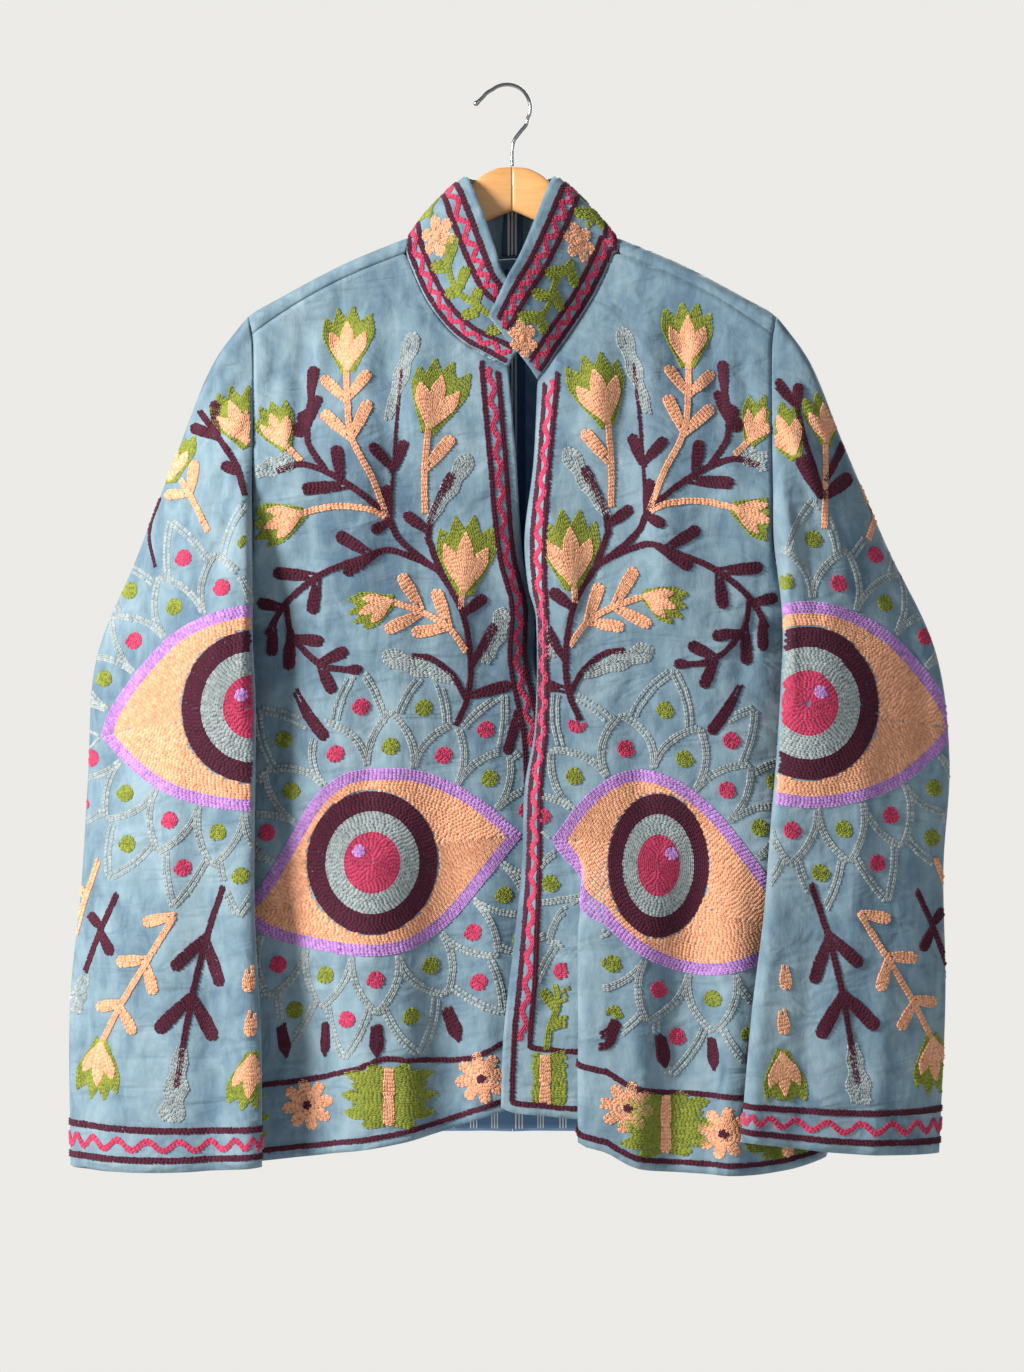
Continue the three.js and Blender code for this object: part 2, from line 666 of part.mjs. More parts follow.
const insideBody = (line) => new THREE.Vector3(middleOf(line).x, 0, middleOf(line).z);
const insideCollar = (line) => new THREE.Vector3(centreX, -10, middleOf(line).z);

const panels = [
  { name: 'front_right', grid: frontGrids[-1], outFrom: insideBody },
  { name: 'front_left', grid: frontGrids[1], outFrom: insideBody },
  { name: 'back_right', grid: backGrids[-1], outFrom: insideBody },
  { name: 'back_left', grid: backGrids[1], outFrom: insideBody },
  { name: 'sleeve_right', grid: sleeveGrid(-1), wraps: true, outFrom: middleOf },
  { name: 'sleeve_left', grid: sleeveGrid(1), wraps: true, outFrom: middleOf },
  { name: 'collar', grid: collarGrid(), wall: collarWall, outFrom: insideCollar },
];

function placeKey(point) {
  return point.toArray().map((value) => Math.round(value * 10)).join();
}

// The cloth pieces share their normals along the seams, so that their walls meet squarely.
function shareSeamNormals(list) {
  const sums = new Map();
  for (const panel of list) panel.normals = gridNormals(panel);
  const visit = (action) => list.forEach(({ grid, normals }) => {
    grid.forEach((line, j) => line.forEach((point, i) => {
      const onEdge = j === 0 || i === 0 || j === grid.length - 1 || i === line.length - 1;
      if (onEdge) action(placeKey(point), normals[j][i]);
    }));
  });
  visit((key, normal) => {
    if (!sums.has(key)) sums.set(key, new THREE.Vector3());
    sums.get(key).add(normal);
  });
  visit((key, normal) => { if (sums.get(key).length() > leastSeamNormal) normal.copy(sums.get(key)).normalize(); });
}

// Moves the outermost points of a grid back from the seam by half its gap.
function trimmed(grid, wraps) {
  const gap = seamGap * (wraps ? sleeveTrim : trimShare);
  const back = (point, towards) => {
    const way = towards.clone().sub(point);
    return point.clone().addScaledVector(way.normalize(), gap);
  };
  const result = grid.map((line) => line.map((point) => point.clone()));
  const lastRow = grid.length - 1;
  const lastColumn = grid[0].length - 1;
  grid[0].forEach((point, i) => { result[0][i] = back(point, grid[1][i]); });
  grid[lastRow].forEach((point, i) => { result[lastRow][i] = back(point, grid[lastRow - 1][i]); });
  if (!wraps) {
    result.forEach((line, j) => {
      result[j][0] = back(line[0], grid[j][1]);
      result[j][lastColumn] = back(line[lastColumn], grid[j][lastColumn - 1]);
    });
  }
  return result;
}

// A closed wall between an outer and an inner grid of points.
function wallGeometry(outer, inner, wraps) {
  const rows = outer.length;
  const columns = outer[0].length;
  const points = outer.flat().concat(inner.flat());
  const outerAt = (j, i) => j * columns + (i % columns);
  const innerAt = (j, i) => rows * columns + outerAt(j, i);
  const faces = [];
  const quad = (a, b, c, d) => faces.push(a, b, c, a, c, d);
  const spans = wraps ? columns : columns - 1;
  for (let j = 0; j < rows - 1; j += 1) {
    for (let i = 0; i < spans; i += 1) {
      quad(outerAt(j, i), outerAt(j, i + 1), outerAt(j + 1, i + 1), outerAt(j + 1, i));
      quad(innerAt(j, i), innerAt(j + 1, i), innerAt(j + 1, i + 1), innerAt(j, i + 1));
    }
    if (!wraps) {
      quad(outerAt(j, 0), outerAt(j + 1, 0), innerAt(j + 1, 0), innerAt(j, 0));
      const end = columns - 1;
      quad(outerAt(j, end), innerAt(j, end), innerAt(j + 1, end), outerAt(j + 1, end));
    }
  }
  for (let i = 0; i < spans; i += 1) {
    const end = rows - 1;
    quad(outerAt(0, i), innerAt(0, i), innerAt(0, i + 1), outerAt(0, i + 1));
    quad(outerAt(end, i), outerAt(end, i + 1), innerAt(end, i + 1), innerAt(end, i));
  }
  return closedGeometry(points, faces);
}

// A geometry from points and faces, turned so that its faces point out.
function closedGeometry(points, faces) {
  let volume = 0;
  for (let f = 0; f < faces.length; f += 3) {
    const [a, b, c] = [points[faces[f]], points[faces[f + 1]], points[faces[f + 2]]];
    volume += a.dot(b.clone().cross(c));
  }
  const index = volume > 0 ? faces : faces.slice().reverse();
  const geometry = new THREE.BufferGeometry();
  geometry.setAttribute('position', new THREE.Float32BufferAttribute(points.flatMap((p) => p.toArray()), 3));
  geometry.setIndex(index);
  geometry.computeVertexNormals();
  return geometry;
}

function offsetGrid(grid, normals, distance) {
  return grid.map((line, j) => line.map((point, i) => point.clone().addScaledVector(normals[j][i], distance)));
}

const group = new THREE.Group();

function addMesh(name, geometry, colour, roughness, metalness = 0) {
  const mesh = new THREE.Mesh(geometry, new THREE.MeshStandardMaterial({ color: colour, roughness, metalness }));
  mesh.name = name;
  group.add(mesh);
  return mesh;
}

shareSeamNormals(panels);
for (const panel of panels) {
  const inner = offsetGrid(panel.grid, panel.normals, -(panel.wall ?? velvetWall));
  const wraps = panel.wraps ?? false;
  addMesh(panel.name, wallGeometry(trimmed(panel.grid, wraps), trimmed(inner, wraps), wraps), colours.velvet, 0.85);
}

// A thin strip on the inside of a panel: its face towards it lies a seam gap away.
function innerStrip(name, grid, normals, stand, wall, colour) {
  const outer = offsetGrid(grid, normals, -stand);
  addMesh(name, wallGeometry(outer, offsetGrid(grid, normals, -stand - wall), false), colour, 0.8);
}

function steps(count) {
  return Array.from({ length: count + 1 }, (_, i) => i / count);
}

function panelNamed(name) {
  return panels.find((panel) => panel.name === name);
}

// The velvet facing turned in at the wearer's left front edge, a little proud of it above.
function addFacing() {
  const { grid, normals } = panelNamed('front_left');
  const columns = frontFacing.columns;
  const strip = grid.slice(1, -1).map((line) => {
    const points = line.slice(0, columns).map((point) => point.clone());
    const proud = read(facingEdge, 'down', 'proud', -points[0].z);
    points[0].addScaledVector(line[0].clone().sub(line[1]).normalize(), proud);
    return points;
  });
  const stand = velvetWall + 2 * seamGap;
  innerStrip('front_facing', strip, normals.slice(1, -1), stand, frontFacing.wall, colours.velvet);
}
addFacing();

// The striped tape that binds the centre back seam inside.
function addBackTape() {
  const left = panelNamed('back_left');
  const right = panelNamed('back_right');
  const rows = left.grid.flatMap((line, j) => {
    const down = -line[0].z;
    return down > backTape.from && down < backTape.to ? [j] : [];
  });
  const sideOf = ({ grid }, j) => {
    const [middle, next] = grid[j];
    return middle.clone().lerp(next, backTape.width / 2 / Math.abs(next.x - middle.x));
  };
  const grid = rows.map((j) => [sideOf(right, j), left.grid[j][0], sideOf(left, j)]);
  const normals = rows.map((j) => Array(3).fill(left.normals[j][0]));
  innerStrip('back_tape', grid, normals, velvetWall + 2 * seamGap, backTape.wall, colours.tape);
}
addBackTape();

// The striped facing inside the back hem, across both halves.
function addHemFacing() {
  const across = (field) => (j) => {
    const right = panelNamed('back_right')[field][j].slice(0, hemFacing.columns).reverse();
    return right.concat(panelNamed('back_left')[field][j].slice(1, hemFacing.columns));
  };
  const last = backGrids[1].length - 1;
  const line = across('grid');
  const between = (j, share) => line(j).map((point, i) => point.clone().lerp(line(j - 1)[i], share));
  const grid = [between(last - 1, hemFacing.second), line(last - 1), between(last, hemFacing.up)];
  const normals = [last - 1, last - 1, last].map(across('normals'));
  innerStrip('hem_facing', grid, normals, velvetWall + 2 * seamGap, hemFacing.wall, colours.lining);
}
addHemFacing();

// A tube with its own radius at each point of a path, closed at both ends.
function tubeGeometry(path, radii, sides) {
  const rings = path.map((point, k) => {
    const ahead = path[Math.min(path.length - 1, k + 1)];
    const behind = path[Math.max(0, k - 1)];
    const tangent = ahead.clone().sub(behind).normalize();
    const across = new THREE.Vector3(0, 1, 0);
    const up = across.clone().cross(tangent).normalize();
    return Array.from({ length: sides }, (_, i) => {
      const angle = (2 * Math.PI * i) / sides;
      const out = across.clone().multiplyScalar(Math.cos(angle)).addScaledVector(up, Math.sin(angle));
      return point.clone().addScaledVector(out, radii[k]);
    });
  });
  const points = rings.flat().concat([path[0], path[path.length - 1]]);
  const faces = [];
  for (let k = 0; k < rings.length - 1; k += 1) {
    for (let i = 0; i < sides; i += 1) {
      const [a, b] = [k * sides + i, k * sides + ((i + 1) % sides)];
      faces.push(a, b, b + sides, a, b + sides, a + sides);
    }
  }
  const last = (rings.length - 1) * sides;
  for (let i = 0; i < sides; i += 1) {
    const next = (i + 1) % sides;
    faces.push(rings.length * sides, next, i, rings.length * sides + 1, last + i, last + next);
  }
  return closedGeometry(points, faces);
}

// The hanger loop: a small ring of the same tape, gathered under the collar.
function loopGeometry() {
  const base = backPoint(1, 0, hangerLoop.down);
  const tapeFace = velvetWall + 2 * seamGap + backTape.wall;
  const y = base.y - tapeFace - seamGap - hangerLoop.strand - hangerLoop.slack;
  const centre = new THREE.Vector3(centreX, y, -hangerLoop.down);
  const ring = new THREE.TorusGeometry(
    hangerLoop.halfWidth, hangerLoop.strand, tubeSides.loop, tubeSides.loopAround);
  ring.rotateX(Math.PI / 2);
  ring.scale(1, 1, hangerLoop.halfHeight / hangerLoop.halfWidth);
  ring.translate(centre.x, centre.y, centre.z);
  return ring;
}
addMesh('hanger_loop', loopGeometry(), colours.tape, 0.8);

// Half of the hanger: sections with rounded corners along the arm, which leans forward.
function woodGeometry(side) {
  const otherHalf = woodProfile.slice(1, -1).reverse().map(([y, z]) => [-y, z]);
  const profile = woodProfile.concat(otherHalf);
  const rings = woodLine.map(({ off, top, bottom, thick }, k) => {
    const middle = (top + bottom) / 2;
    const half = (bottom - top) / 2;
    const x = centreX + side * (off + (k === 0 ? seamGap / 2 : 0));
    const roundTop = Math.min(1, woodEdgeRound / half);
    return profile.map(([y, z]) => {
      const level = Math.sign(z) * (1 - (1 - Math.abs(z)) * roundTop);
      return new THREE.Vector3(x, woodHalfThickness * thick * y - armSweep * off, -middle + half * level);
    });
  });
  const count = profile.length;
  const faces = [];
  for (let k = 0; k < rings.length - 1; k += 1) {
    for (let i = 0; i < count; i += 1) {
      const [a, b] = [k * count + i, k * count + ((i + 1) % count)];
      faces.push(a, b, b + count, a, b + count, a + count);
    }
  }
  const last = (rings.length - 1) * count;
  for (let i = 1; i < count - 1; i += 1) faces.push(0, i + 1, i, last, last + i, last + i + 1);
  return closedGeometry(rings.flat(), faces);
}
addMesh('hanger_arm_right', woodGeometry(-1), colours.wood, 0.4);
addMesh('hanger_arm_left', woodGeometry(1), colours.wood, 0.4);

// The hook: a flared tip with a small bead, an arc over the crown, and the stem to the wood.
function hookGeometry() {
  const centreZ = -(hookRadius - hookWire);
  const arcPoint = (degrees) => {
    const angle = THREE.MathUtils.degToRad(degrees);
    return new THREE.Vector3(hookRadius * Math.cos(angle), 0, centreZ + hookRadius * Math.sin(angle));
  };
  const flat = ({ x, z }) => new THREE.Vector3(x, 0, z);
  const arc = steps(hookArc.steps).map((share) => arcPoint(mix(hookArc.from, hookArc.to, share)));
  const path = hookTip.map(flat).concat(arc, hookStem.map(flat));
  const radii = path.map((_, k) => hookTip[k]?.radius ?? hookWire);
  return tubeGeometry(path, radii, tubeSides.hook);
}
addMesh('hanger_hook', hookGeometry(), colours.steel, 0.2, 1);

export default group;
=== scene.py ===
import math

import bmesh
import bpy
import numpy as np
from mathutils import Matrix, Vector


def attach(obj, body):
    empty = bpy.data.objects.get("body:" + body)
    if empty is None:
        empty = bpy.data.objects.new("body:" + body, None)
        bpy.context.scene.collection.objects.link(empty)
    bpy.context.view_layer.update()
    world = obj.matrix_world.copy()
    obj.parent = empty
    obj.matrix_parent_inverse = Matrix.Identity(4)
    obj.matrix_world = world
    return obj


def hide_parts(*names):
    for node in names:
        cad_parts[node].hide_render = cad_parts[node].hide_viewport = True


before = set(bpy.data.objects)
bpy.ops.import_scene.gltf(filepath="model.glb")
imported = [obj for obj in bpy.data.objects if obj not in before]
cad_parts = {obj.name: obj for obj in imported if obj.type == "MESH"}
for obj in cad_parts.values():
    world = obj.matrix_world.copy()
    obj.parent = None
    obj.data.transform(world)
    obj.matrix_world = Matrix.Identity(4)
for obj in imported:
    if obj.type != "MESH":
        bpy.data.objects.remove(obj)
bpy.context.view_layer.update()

# An embroidered velvet jacket on a wooden hanger. Sizes are millimetres until a mesh is made.
# "down" is measured below the hook's crown and "off" sideways from the centre line.
# Side 1 is the wearer's left, on the viewer's right, and side -1 the other.

centreX = 4.0
ridgeRadius = 10.0
armSweep = 0.11
sweepRun = 220.0
chestRun = 150.0
backRun = 120.0
underarmDown = 406.0
roundStart = 300.0
sideHemDown = 800.0
neckOff = 79.0
neckShare = 0.4
placketWidth = 20.0
foldLineDown = 350.0
liftFade = 75.0
velvetWall = 1.7
bodyClear = 9.0


def table(names, *rows):
    columns = np.array(rows, float).T
    return dict(zip(names.split(), columns))


def ease(value):
    t = np.clip(value, 0.0, 1.0)
    return t * t * (3.0 - 2.0 * t)


def mix(a, b, share):
    return a + (b - a) * share


# Reads a column of a table between its rows, on a smooth curve through them (Catmull-Rom).
def read(rows, place, column, x):
    xs = rows[place]
    ys = rows[column]
    x = np.clip(x, xs[0], xs[-1])
    i = np.clip(np.searchsorted(xs, x, side="right") - 1, 0, len(xs) - 2)
    last = len(xs) - 1
    lower = np.maximum(i - 1, 0)
    upper = np.minimum(i + 2, last)
    span = xs[i + 1] - xs[i]
    t = (x - xs[i]) / span
    before = (ys[i + 1] - ys[lower]) / (xs[i + 1] - xs[lower])
    after = (ys[upper] - ys[i]) / (xs[upper] - xs[i])
    start = ys[i] * (1 - t) ** 2 * (1 + 2 * t)
    end = ys[i + 1] * t ** 2 * (3 - 2 * t)
    return start + end + span * t * (1 - t) * (before * (1 - t) - after * t)


ridgeLine = table(
    "off down",
    (0, 100), (60, 109), (80, 115.5), (117, 131), (141, 143), (175, 162), (198, 175), (214, 186))
seamLine = table("off drop", (79, 12), (150, 12), (175, 14), (193, 17))
sideLine = table(
    "down off",
    (172, 197), (190, 193), (215, 192), (300, 191), (350, 193), (385, 204), (406, 219),
    (470, 225), (600, 232), (800, 238))
bodyDepth = table(
    "down front back",
    (100, 44, 24), (200, 48, 25), (400, 52, 26), (600, 60, 28), (800, 62, 31))
backHem = table("off down", (0, 788), (90, 789), (160, 793), (238, 800))
backNeck = table(
    "share off reach",
    (0, 0, 34), (0.1, 25, 32), (0.2, 48, 26), (0.3, 70, 12), (0.36, 77.5, -3), (0.4, 79, -17.7))

neckLine = {
    -1: table("off down", (3, 214), (22, 203), (35, 196), (52, 180), (66, 159), (77, 134), (79, 127.5)),
    1: table("off down", (18.5, 224), (25, 218), (35, 207), (50, 185), (65, 159), (76, 136), (79, 127.5)),
}
frontEdge = {
    -1: table(
        "down off turn lift",
        (214, 3, 0, -5), (285, -3, 10, -6), (355, -8, 30, -10), (391, -16, 34, -16),
        (432, -17, 20, -24), (486, -28, 0, -26), (560, -31, 0, -25), (700, -40, 0, -14),
        (762, -46, 0, -12)),
    1: table(
        "down off turn lift",
        (224, 18.5, 42, 7), (285, 15.5, 54, 7), (340, 9, 42, 7), (376, 11.5, 52, 8),
        (400, 17.5, 68, 8), (480, 16.5, 66, 8), (524, 9, 54, 7), (580, 7, 50, 7),
        (640, 1, 32, 7), (700, -6, 0, 6), (760, -8.5, 0, 6)),
}
frontHem = {
    -1: table(
        "off down",
        (-46, 762), (-10, 760), (8, 763), (54, 778), (106, 789), (181, 799), (238, 800)),
    1: table(
        "off down",
        (-8.5, 758), (0, 762), (46, 769), (62, 785), (92, 802), (138, 807), (192, 808), (238, 800)),
}

# Folds: each runs from a top to a bottom point; a rise above 0 stands out, below 0 is a
# trough. The broad ones are the solids' own, the rest are the finer creases of the cloth.
foldNames = "top topOff bottom bottomOff width rise"
frontFolds = {
    -1: table(
        foldNames,
        (180, 160, 262, 170, 10, -4), (215, 120, 420, 138, 26, 5), (420, 60, 800, 44, 24, -8),
        (520, 110, 800, 100, 30, 8), (560, 165, 800, 158, 24, -8)),
    1: table(
        foldNames,
        (200, 150, 300, 172, 12, -4), (230, 110, 430, 124, 26, 5), (470, 140, 800, 118, 22, -9),
        (540, 172, 800, 160, 22, 8)),
}
frontCreases = {
    -1: table(
        foldNames,
        (178, 172, 262, 184, 6, -6.0), (158, 150, 280, 160, 8, -6.0), (154, 126, 250, 138, 9, -4.0),
        (190, 162, 330, 172, 7, 4.0), (150, 100, 250, 112, 10, 3.6),
        (172, 96, 330, 84, 12, -3.2), (150, 72, 300, 66, 10, 2.8), (250, 146, 400, 178, 9, 3.4),
        (290, 186, 470, 158, 8, -3.6), (236, 112, 420, 104, 10, 2.6), (300, 62, 470, 72, 10, -2.4),
        (400, 92, 560, 112, 10, -3.0), (420, 170, 600, 182, 9, -3.4), (560, 20, 690, 12, 9, 2.8),
        (600, 78, 800, 74, 11, 4.2), (640, 132, 800, 130, 11, -4.2), (620, 196, 800, 190, 8, 3.6),
        (660, 22, 800, 20, 10, 3.2), (300, 26, 450, 44, 12, 2.4), (480, 190, 640, 178, 8, 3.2)),
    1: table(
        foldNames,
        (182, 164, 272, 182, 6, -6.0), (162, 144, 266, 156, 8, -5.6), (156, 120, 250, 130, 9, -4.0),
        (192, 154, 330, 168, 7, 4.0), (150, 96, 250, 104, 10, 3.6),
        (168, 90, 340, 78, 12, -3.2), (150, 66, 300, 60, 10, 2.8), (262, 148, 392, 180, 9, 3.6),
        (340, 186, 480, 164, 8, -3.8), (240, 106, 430, 112, 10, 2.6), (310, 54, 480, 66, 10, -2.6),
        (430, 84, 570, 98, 11, -3.0), (590, 30, 720, 26, 9, -2.8), (610, 96, 800, 92, 11, 4.0),
        (640, 148, 800, 144, 9, -4.0), (290, 30, 440, 46, 12, 2.4), (500, 190, 660, 184, 8, 3.2),
        (640, 200, 800, 196, 8, -3.2)),
}
backFolds = table(
    foldNames,
    (240, 60, 800, 48, 34, 5), (330, 120, 800, 116, 30, -5), (450, 175, 800, 172, 26, 6))
backCreases = table(
    foldNames,
    (160, 110, 290, 84, 12, -3.2), (176, 165, 300, 180, 7, -3.8), (200, 40, 420, 30, 14, 2.6),
    (300, 20, 520, 16, 14, -2.8), (260, 140, 420, 176, 10, 3.2), (380, 150, 640, 146, 12, 3.2),
    (520, 84, 800, 82, 12, -3.6), (560, 200, 800, 198, 9, -3.4), (600, 20, 800, 18, 12, 3.0))

# The deep fold of the wearer's left front, where the main part laps over the centre strip.
lap = {"off": 52.0, "width": 17.0, "shift": 12.0, "rise": 13.0, "top": 545.0, "full": 640.0, "fade": 110.0}


def foldRise(rows, off, down):
    total = np.zeros(np.broadcast(off, down).shape)
    for top, topOff, bottom, bottomOff, width, rise in zip(*(rows[n] for n in foldNames.split())):
        way = (down - top) / (bottom - top)
        line = mix(topOff, bottomOff, way)
        fadeOut = 1 - ease((way - 0.6) / 0.4) if bottom < sideHemDown else 1.0
        bump = np.exp(-(((off - line) / width) ** 2))
        total = total + np.where(way > 0, rise * bump * ease(way / 0.5) * fadeOut, 0.0)
    return total


# How far down the ridge of the shoulder lies at an off, on either side alike.
def ridgeDown(off):
    return read(ridgeLine, "off", "down", np.abs(off))


# How far out the body's side lies at a down.
def sideOff(down):
    return read(sideLine, "down", "off", down)


# The middle sheet leans forward along the arm, by the sweep times the off, and upright below.
def middleY(off, down):
    return -armSweep * np.abs(off) * (1 - ease((down - ridgeDown(off)) / sweepRun))


# Share of the depth near the side: a quarter round above the underarm, the root of 1 - way * way.
def sideShare(off, down):
    way = np.clip((down - roundStart) / (underarmDown - roundStart), 0, 1)
    atEdge = np.sqrt(1 - way * way)
    toEdge = np.minimum(1, np.abs(off) / sideOff(down))
    return atEdge + (1 - atEdge) * np.sqrt(np.maximum(0, 1 - toEdge ** 5))


# Depth of front or back below the ridge: a round ridge first, then eased out to full depth.
def depthAt(column, run, off, down):
    drop = np.maximum(0, down - ridgeDown(off))
    top = np.minimum(1, drop / ridgeRadius)
    rounded = ridgeRadius * np.sqrt(1 - (1 - top) ** 2)
    full = read(bodyDepth, "down", column, down) - ridgeRadius
    return (rounded + full * ease((drop - ridgeRadius) / run)) * sideShare(off, down)


# Lets folds die out at the side: 1 less the sixth power of the way to it.
def awayFromSide(off, down):
    return 1 - np.minimum(1, np.abs(off) / sideOff(down)) ** 6


# Vectors of the same directions, each with length 1.
def unit(vectors, least=1e-9):
    return vectors / np.maximum(np.linalg.norm(vectors, axis=-1, keepdims=True), least)


# How far along a line each of its points lies: the sum of the steps before it.
def lengthsOf(points):
    return np.concatenate([[0], np.cumsum(np.linalg.norm(np.diff(points, axis=0), axis=-1))])


# Points from three arrays of any shapes that go together.
def stack(x, y, z):
    return np.stack(np.broadcast_arrays(x, y, z), axis=-1)


# A front's point at a place on it: middle sheet less depth, folds and the lap, and the placket
# turned in by its own angle along the free edge.
liftFrom = {"down": 130, "run": 100}
placketTurn = {"most": 1.3, "power": 1.4}


def frontPlace(side, off, down):
    edge = frontEdge[side]
    edgeOff = read(edge, "down", "off", down)
    turn = np.radians(read(edge, "down", "turn", down))
    depth = depthAt("front", chestRun, off, down)
    folds = foldRise(frontFolds[side], off, down) + foldRise(frontCreases[side], off, down)
    depth = depth + folds * awayFromSide(off, down)
    lift = read(edge, "down", "lift", down)
    grows = ease((down - liftFrom["down"]) / liftFrom["run"])
    depth = depth + lift * np.exp(-(((off - edgeOff) / liftFade) ** 2)) * grows
    across = off
    if side > 0:
        grown = ease((down - lap["top"]) / (lap["full"] - lap["top"]))
        place = (off - lap["off"]) / lap["width"]
        away = np.exp(-((np.maximum(0, off - lap["off"]) / lap["fade"]) ** 2))
        depth = depth + grown * lap["rise"] * ease((place + 1) / 2) * away * awayFromSide(off, down)
        shift = grown * lap["shift"] * np.sin(np.pi * np.clip(place, -1, 1))
        across = off - shift
    inward = np.maximum(0, (edgeOff + placketWidth * np.cos(turn) - off) / (placketWidth * np.cos(turn)))
    bent = np.minimum(inward, placketTurn["most"]) ** placketTurn["power"]
    turned = placketWidth * np.sin(turn) * bent
    return stack(centreX + side * across, middleY(off, down) - depth + turned, -down)


# A back's point at a place on it: middle sheet plus depth and folds.
def backPlace(side, off, down):
    depth = depthAt("back", backRun, off, down)
    folds = foldRise(backFolds, off, down) + foldRise(backCreases, off, down)
    return stack(centreX + side * off, middleY(off, down) + depth + folds * awayFromSide(off, down), -down)


# Drop below the ridge for a reach along the cloth: a quarter circle, then straight down.
def dropOfReach(reach):
    arc = np.abs(reach) / ridgeRadius
    quarter = ridgeRadius * np.pi / 2
    onArc = ridgeRadius * (1 - np.cos(np.minimum(arc, np.pi / 2)))
    return np.where(arc < np.pi / 2, onArc, ridgeRadius + np.abs(reach) - quarter)


# Reach along the cloth for a drop that lies below the quarter circle.
def reachOfDrop(drop):
    return drop - ridgeRadius + ridgeRadius * np.pi / 2


# Where the shoulder seam meets the side, found by turns.
def seamEnd():
    off = 193.0
    for _ in range(8):
        down = ridgeDown(off) + read(seamLine, "off", "drop", off)
        off = float(sideOff(down))
    return off, float(down)


armTopOff, armTopDown = seamEnd()


# Off along the shoulder seam for a share, straight from the neck to the arm's top.
def shoulderOff(share):
    return mix(neckOff, armTopOff, (share - neckShare) / (1 - neckShare))


# Places on a front for shares 0 to 1 from free edge to side and rows 0 to 1 from top to hem.
def frontPlaces(side, share, row):
    neck = neckLine[side]
    hem = frontHem[side]
    neckStart = neck["off"][0]
    atNeck = share < neckShare
    topOff = np.where(atNeck, mix(neckStart, neckOff, share / neckShare), shoulderOff(share))
    seamDown = ridgeDown(topOff) + read(seamLine, "off", "drop", topOff)
    topDown = np.where(atNeck, read(neck, "off", "down", topOff), seamDown)
    hemOff = mix(hem["off"][0], sideLine["off"][-1], share)
    down = mix(topDown, read(hem, "off", "down", hemOff), row)
    edgeDown = mix(neck["down"][0], hem["down"][0], row)
    edge = frontEdge[side]
    edgeOff = read(edge, "down", "off", edgeDown)
    turn = np.radians(read(edge, "down", "turn", edgeDown))
    end = sideOff(mix(armTopDown, sideHemDown, row))
    across = mix((topOff - neckStart) / (armTopOff - neckStart), share, row)
    line = edgeOff + placketWidth * np.cos(turn)
    placketShare = placketWidth / (end - edgeOff)
    beyond = (across - placketShare) / (1 - placketShare)
    off = np.where(across >= placketShare, mix(line, end, beyond), mix(edgeOff, line, across / placketShare))
    return off, down


# Places on a back half, with its first rows wrapped over the ridge to the shoulder seam.
def backPoints(side, share, row):
    atNeck = share < neckShare
    topOff = np.where(atNeck, read(backNeck, "share", "off", share), shoulderOff(share))
    seamReach = -reachOfDrop(read(seamLine, "off", "drop", topOff))
    topReach = np.where(atNeck, read(backNeck, "share", "reach", share), seamReach)
    hemOff = mix(0, sideLine["off"][-1], share)
    hemReach = reachOfDrop(read(backHem, "off", "down", hemOff) - ridgeDown(hemOff))
    reach = mix(topReach, hemReach, row)
    sideStart = -reachOfDrop(armTopDown - ridgeDown(armTopOff))
    sideEnd = reachOfDrop(sideHemDown - ridgeDown(sideOff(sideHemDown)))
    sideReach = mix(sideStart, sideEnd, row)
    edgeOff = np.full(np.shape(sideReach), armTopOff)
    for _ in range(4):
        edgeOff = sideOff(ridgeDown(edgeOff) + dropOfReach(sideReach))
    off = edgeOff * mix(topOff / armTopOff, share, row)
    down = ridgeDown(off) + dropOfReach(reach)
    ahead = (reach < 0)[..., None]
    return np.where(ahead, frontPlace(side, off, down), backPlace(side, off, down)), off, down


sectionNames = "at outOff outDown outY inOff inDown inY front back"
sleeveSections = {
    -1: table(
        sectionNames,
        (0, 197, 175, -21, 193, 350, -46, 14, 40), (0.1, 224, 213, -21, 191, 388, -56, 24, 40),
        (0.22, 249, 275, -19, 190, 420, -63, 24, 32), (0.36, 280, 355, -18, 188, 457, -67, 21.5, 22.5),
        (0.5, 310, 432, -20, 187.5, 504, -70, 20, 15), (0.63, 315.5, 520, -24, 188, 560, -73, 19, 12),
        (0.75, 320, 600, -28, 187.5, 622, -75, 18, 11), (0.87, 328, 690, -32, 183, 702, -78, 17, 12.5),
        (1, 327, 805, -35, 182, 799.5, -80, 16, 13.5)),
    1: table(
        sectionNames,
        (0, 198, 174, -21, 193, 350, -46, 14, 40), (0.1, 223, 210, -21, 197, 386, -56, 24, 40),
        (0.22, 246, 268, -19, 198, 418, -63, 24, 32), (0.36, 279, 346, -18, 196, 455, -67, 22, 22),
        (0.5, 315, 424, -20, 193, 500, -70, 20, 15), (0.63, 325, 505, -24, 188, 556, -73, 19, 12),
        (0.75, 320, 586, -28, 183, 618, -75, 18, 11), (0.87, 321, 680, -32, 174, 690, -78, 17, 12),
        (1, 316, 795, -35, 166, 781, -80, 16, 13)),
}
sleeveFoldNames = "start stop around width rise"
